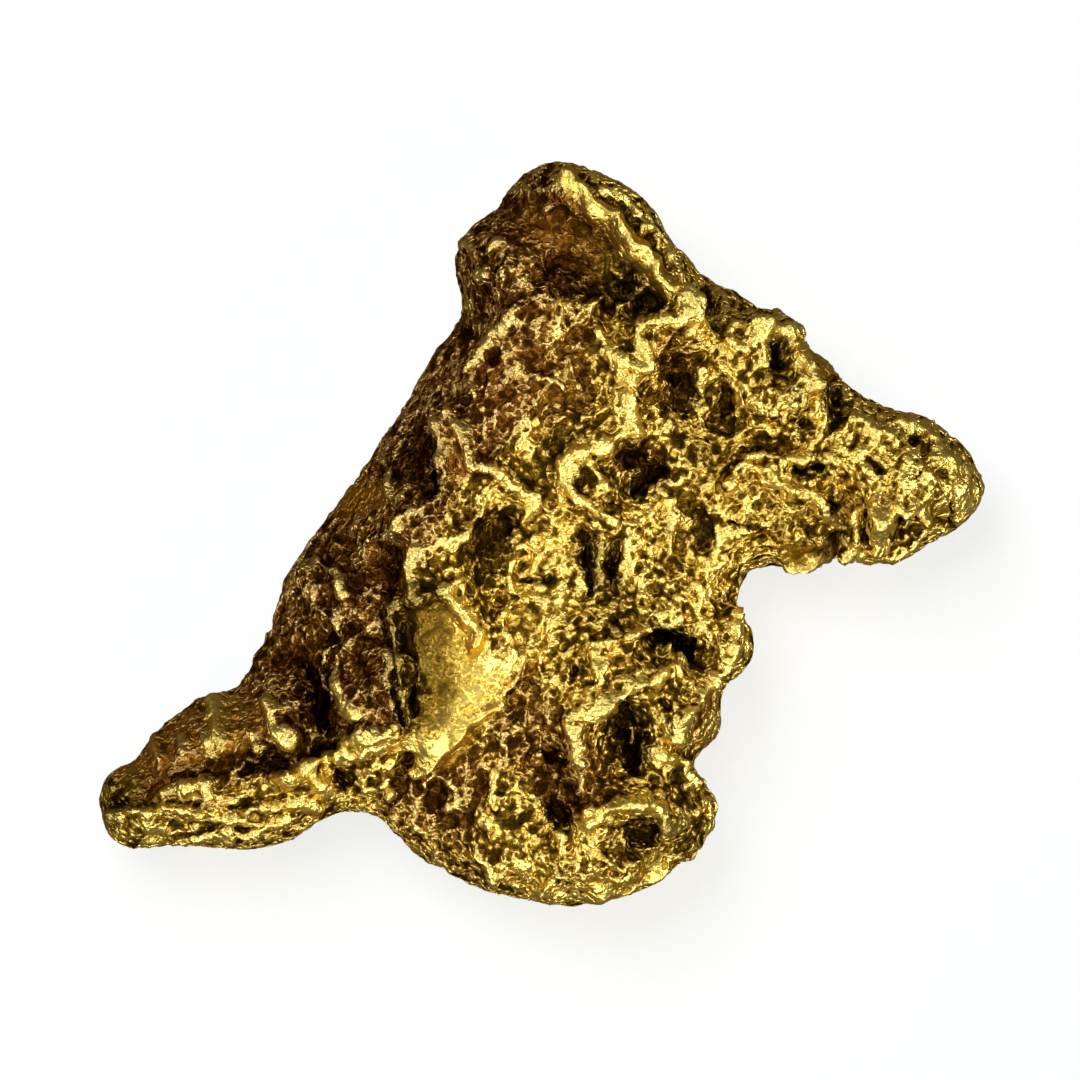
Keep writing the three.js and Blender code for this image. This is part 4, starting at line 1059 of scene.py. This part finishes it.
def build_table(side):
    """A square sheet under the nugget that is staging, not a part of it."""
    half = side / 2
    mesh = bpy.data.meshes.new("table")
    mesh.from_pydata([(-half, -half, 0), (half, -half, 0), (half, half, 0), (-half, half, 0)], [],
                     [(0, 1, 2, 3)])
    table = bpy.data.objects.new("table", mesh)
    bpy.context.scene.collection.objects.link(table)
    pale = bpy.data.materials.new("pale_table")
    pale.use_nodes = True
    pale.node_tree.nodes.clear()
    nodes = Tree(pale.node_tree)
    lit = nodes.add("ShaderNodeBsdfDiffuse", {}, {"Color": TABLE_WHITE})
    glow = nodes.add("ShaderNodeEmission", {}, {"Color": TABLE_GLOW, "Strength": TABLE_GLOW_STRENGTH})
    surface = nodes.add("ShaderNodeAddShader", {}, {0: lit, 1: glow})
    nodes.add("ShaderNodeOutputMaterial", {}, {"Surface": surface})
    mesh.materials.append(pale)
    table.visible_glossy = False
    return table


table = build_table(TABLE_SIDE)
print("table side:", TABLE_SIDE, "m")

# %% [markdown]
# ## Light
# Metal shows what it reflects, so it is lit by wide softboxes and not by small lamps. Two bright ones,
# to the south and the east, make the crests gleam. One overhead fills the top, and a dimmer one to the
# west reaches the brown flank. The table needs far less light and one soft shadow, so light linking
# gives each softbox only one thing to light. The room itself is dim and warm in the metal, and white
# behind the table.

# %% Hang the softboxes
AIM = Vector(((cad_low[0] + cad_high[0]) / 2, (cad_low[1] + cad_high[1]) / 2, 3 * MM))
LIGHT_DISTANCE = 0.5


def softbox(name, turn, rise, size, brightness, lights):
    """An area light from a turn and a rise in degrees, which lights one object only."""
    light = bpy.data.lights.new(name, "AREA")
    light.shape = "RECTANGLE"
    light.size, light.size_y = size
    light.energy = brightness * math.pi * size[0] * size[1]
    lamp = bpy.data.objects.new(name, light)
    turn, rise = math.radians(turn), math.radians(rise)
    towards = Vector((math.cos(turn) * math.cos(rise), math.sin(turn) * math.cos(rise), math.sin(rise)))
    lamp.location = AIM + towards * LIGHT_DISTANCE
    lamp.rotation_euler = towards.to_track_quat("Z", "Y").to_euler()
    lamp.visible_camera = False
    bpy.context.scene.collection.objects.link(lamp)
    group = bpy.data.collections.new(name + "_lights")
    group.objects.link(lights)
    lamp.light_linking.receiver_collection = group


softbox("south_softbox", -96, 36, (0.54, 0.26), 5.0, skin)
softbox("east_softbox", -5, 32, (0.32, 0.28), 5.9, skin)
softbox("top_softbox", 60, 74, (0.34, 0.34), 1.7, skin)
softbox("west_softbox", 165, 38, (0.36, 0.24), 3.6, skin)
softbox("table_softbox", 125, 60, (0.3, 0.3), 2.0, table)

# %% Light the room
ROOM_COLOUR, ROOM_STRENGTH = (0.5, 0.41, 0.27, 1), 0.28
BACKDROP_COLOUR = (0.97, 0.97, 0.97, 1)
world = bpy.data.worlds.new("studio")
bpy.context.scene.world = world
world.use_nodes = True
world.node_tree.nodes.clear()
room = Tree(world.node_tree)
seen = room.add("ShaderNodeLightPath", out="Is Camera Ray")
dim = room.add("ShaderNodeBackground", {}, {"Color": ROOM_COLOUR, "Strength": ROOM_STRENGTH})
pale = room.add("ShaderNodeBackground", {}, {"Color": BACKDROP_COLOUR, "Strength": 1.0})
both = room.add("ShaderNodeMixShader", {}, {0: seen, 1: dim, 2: pale})
room.add("ShaderNodeOutputWorld", {}, {"Surface": both})
bpy.context.scene.view_settings.view_transform = "Standard"
print("room strength:", ROOM_STRENGTH)

# %% [markdown]
# ## Camera
# The camera looks straight down through a long lens, with the head at the top of the view. The lens
# follows from how wide the view is at a height of two millimetres, near the middle of the relief.

# %% Place the camera
VIEW_WIDTH = 27 * MM
VIEW_MIDDLE = (0, -0.125 * MM, 2 * MM)
CAMERA_DISTANCE = 0.35
SENSOR = 36
camera_data = bpy.data.cameras.new("camera")
camera_data.sensor_width = SENSOR
camera_data.lens = SENSOR * CAMERA_DISTANCE / VIEW_WIDTH
camera_data.clip_start, camera_data.clip_end = 0.01, 5
camera = bpy.data.objects.new("camera", camera_data)
camera.location = Vector(VIEW_MIDDLE) + Vector((0, 0, CAMERA_DISTANCE))
bpy.context.scene.collection.objects.link(camera)
bpy.context.scene.camera = camera
print("lens:", round(camera_data.lens), "mm")
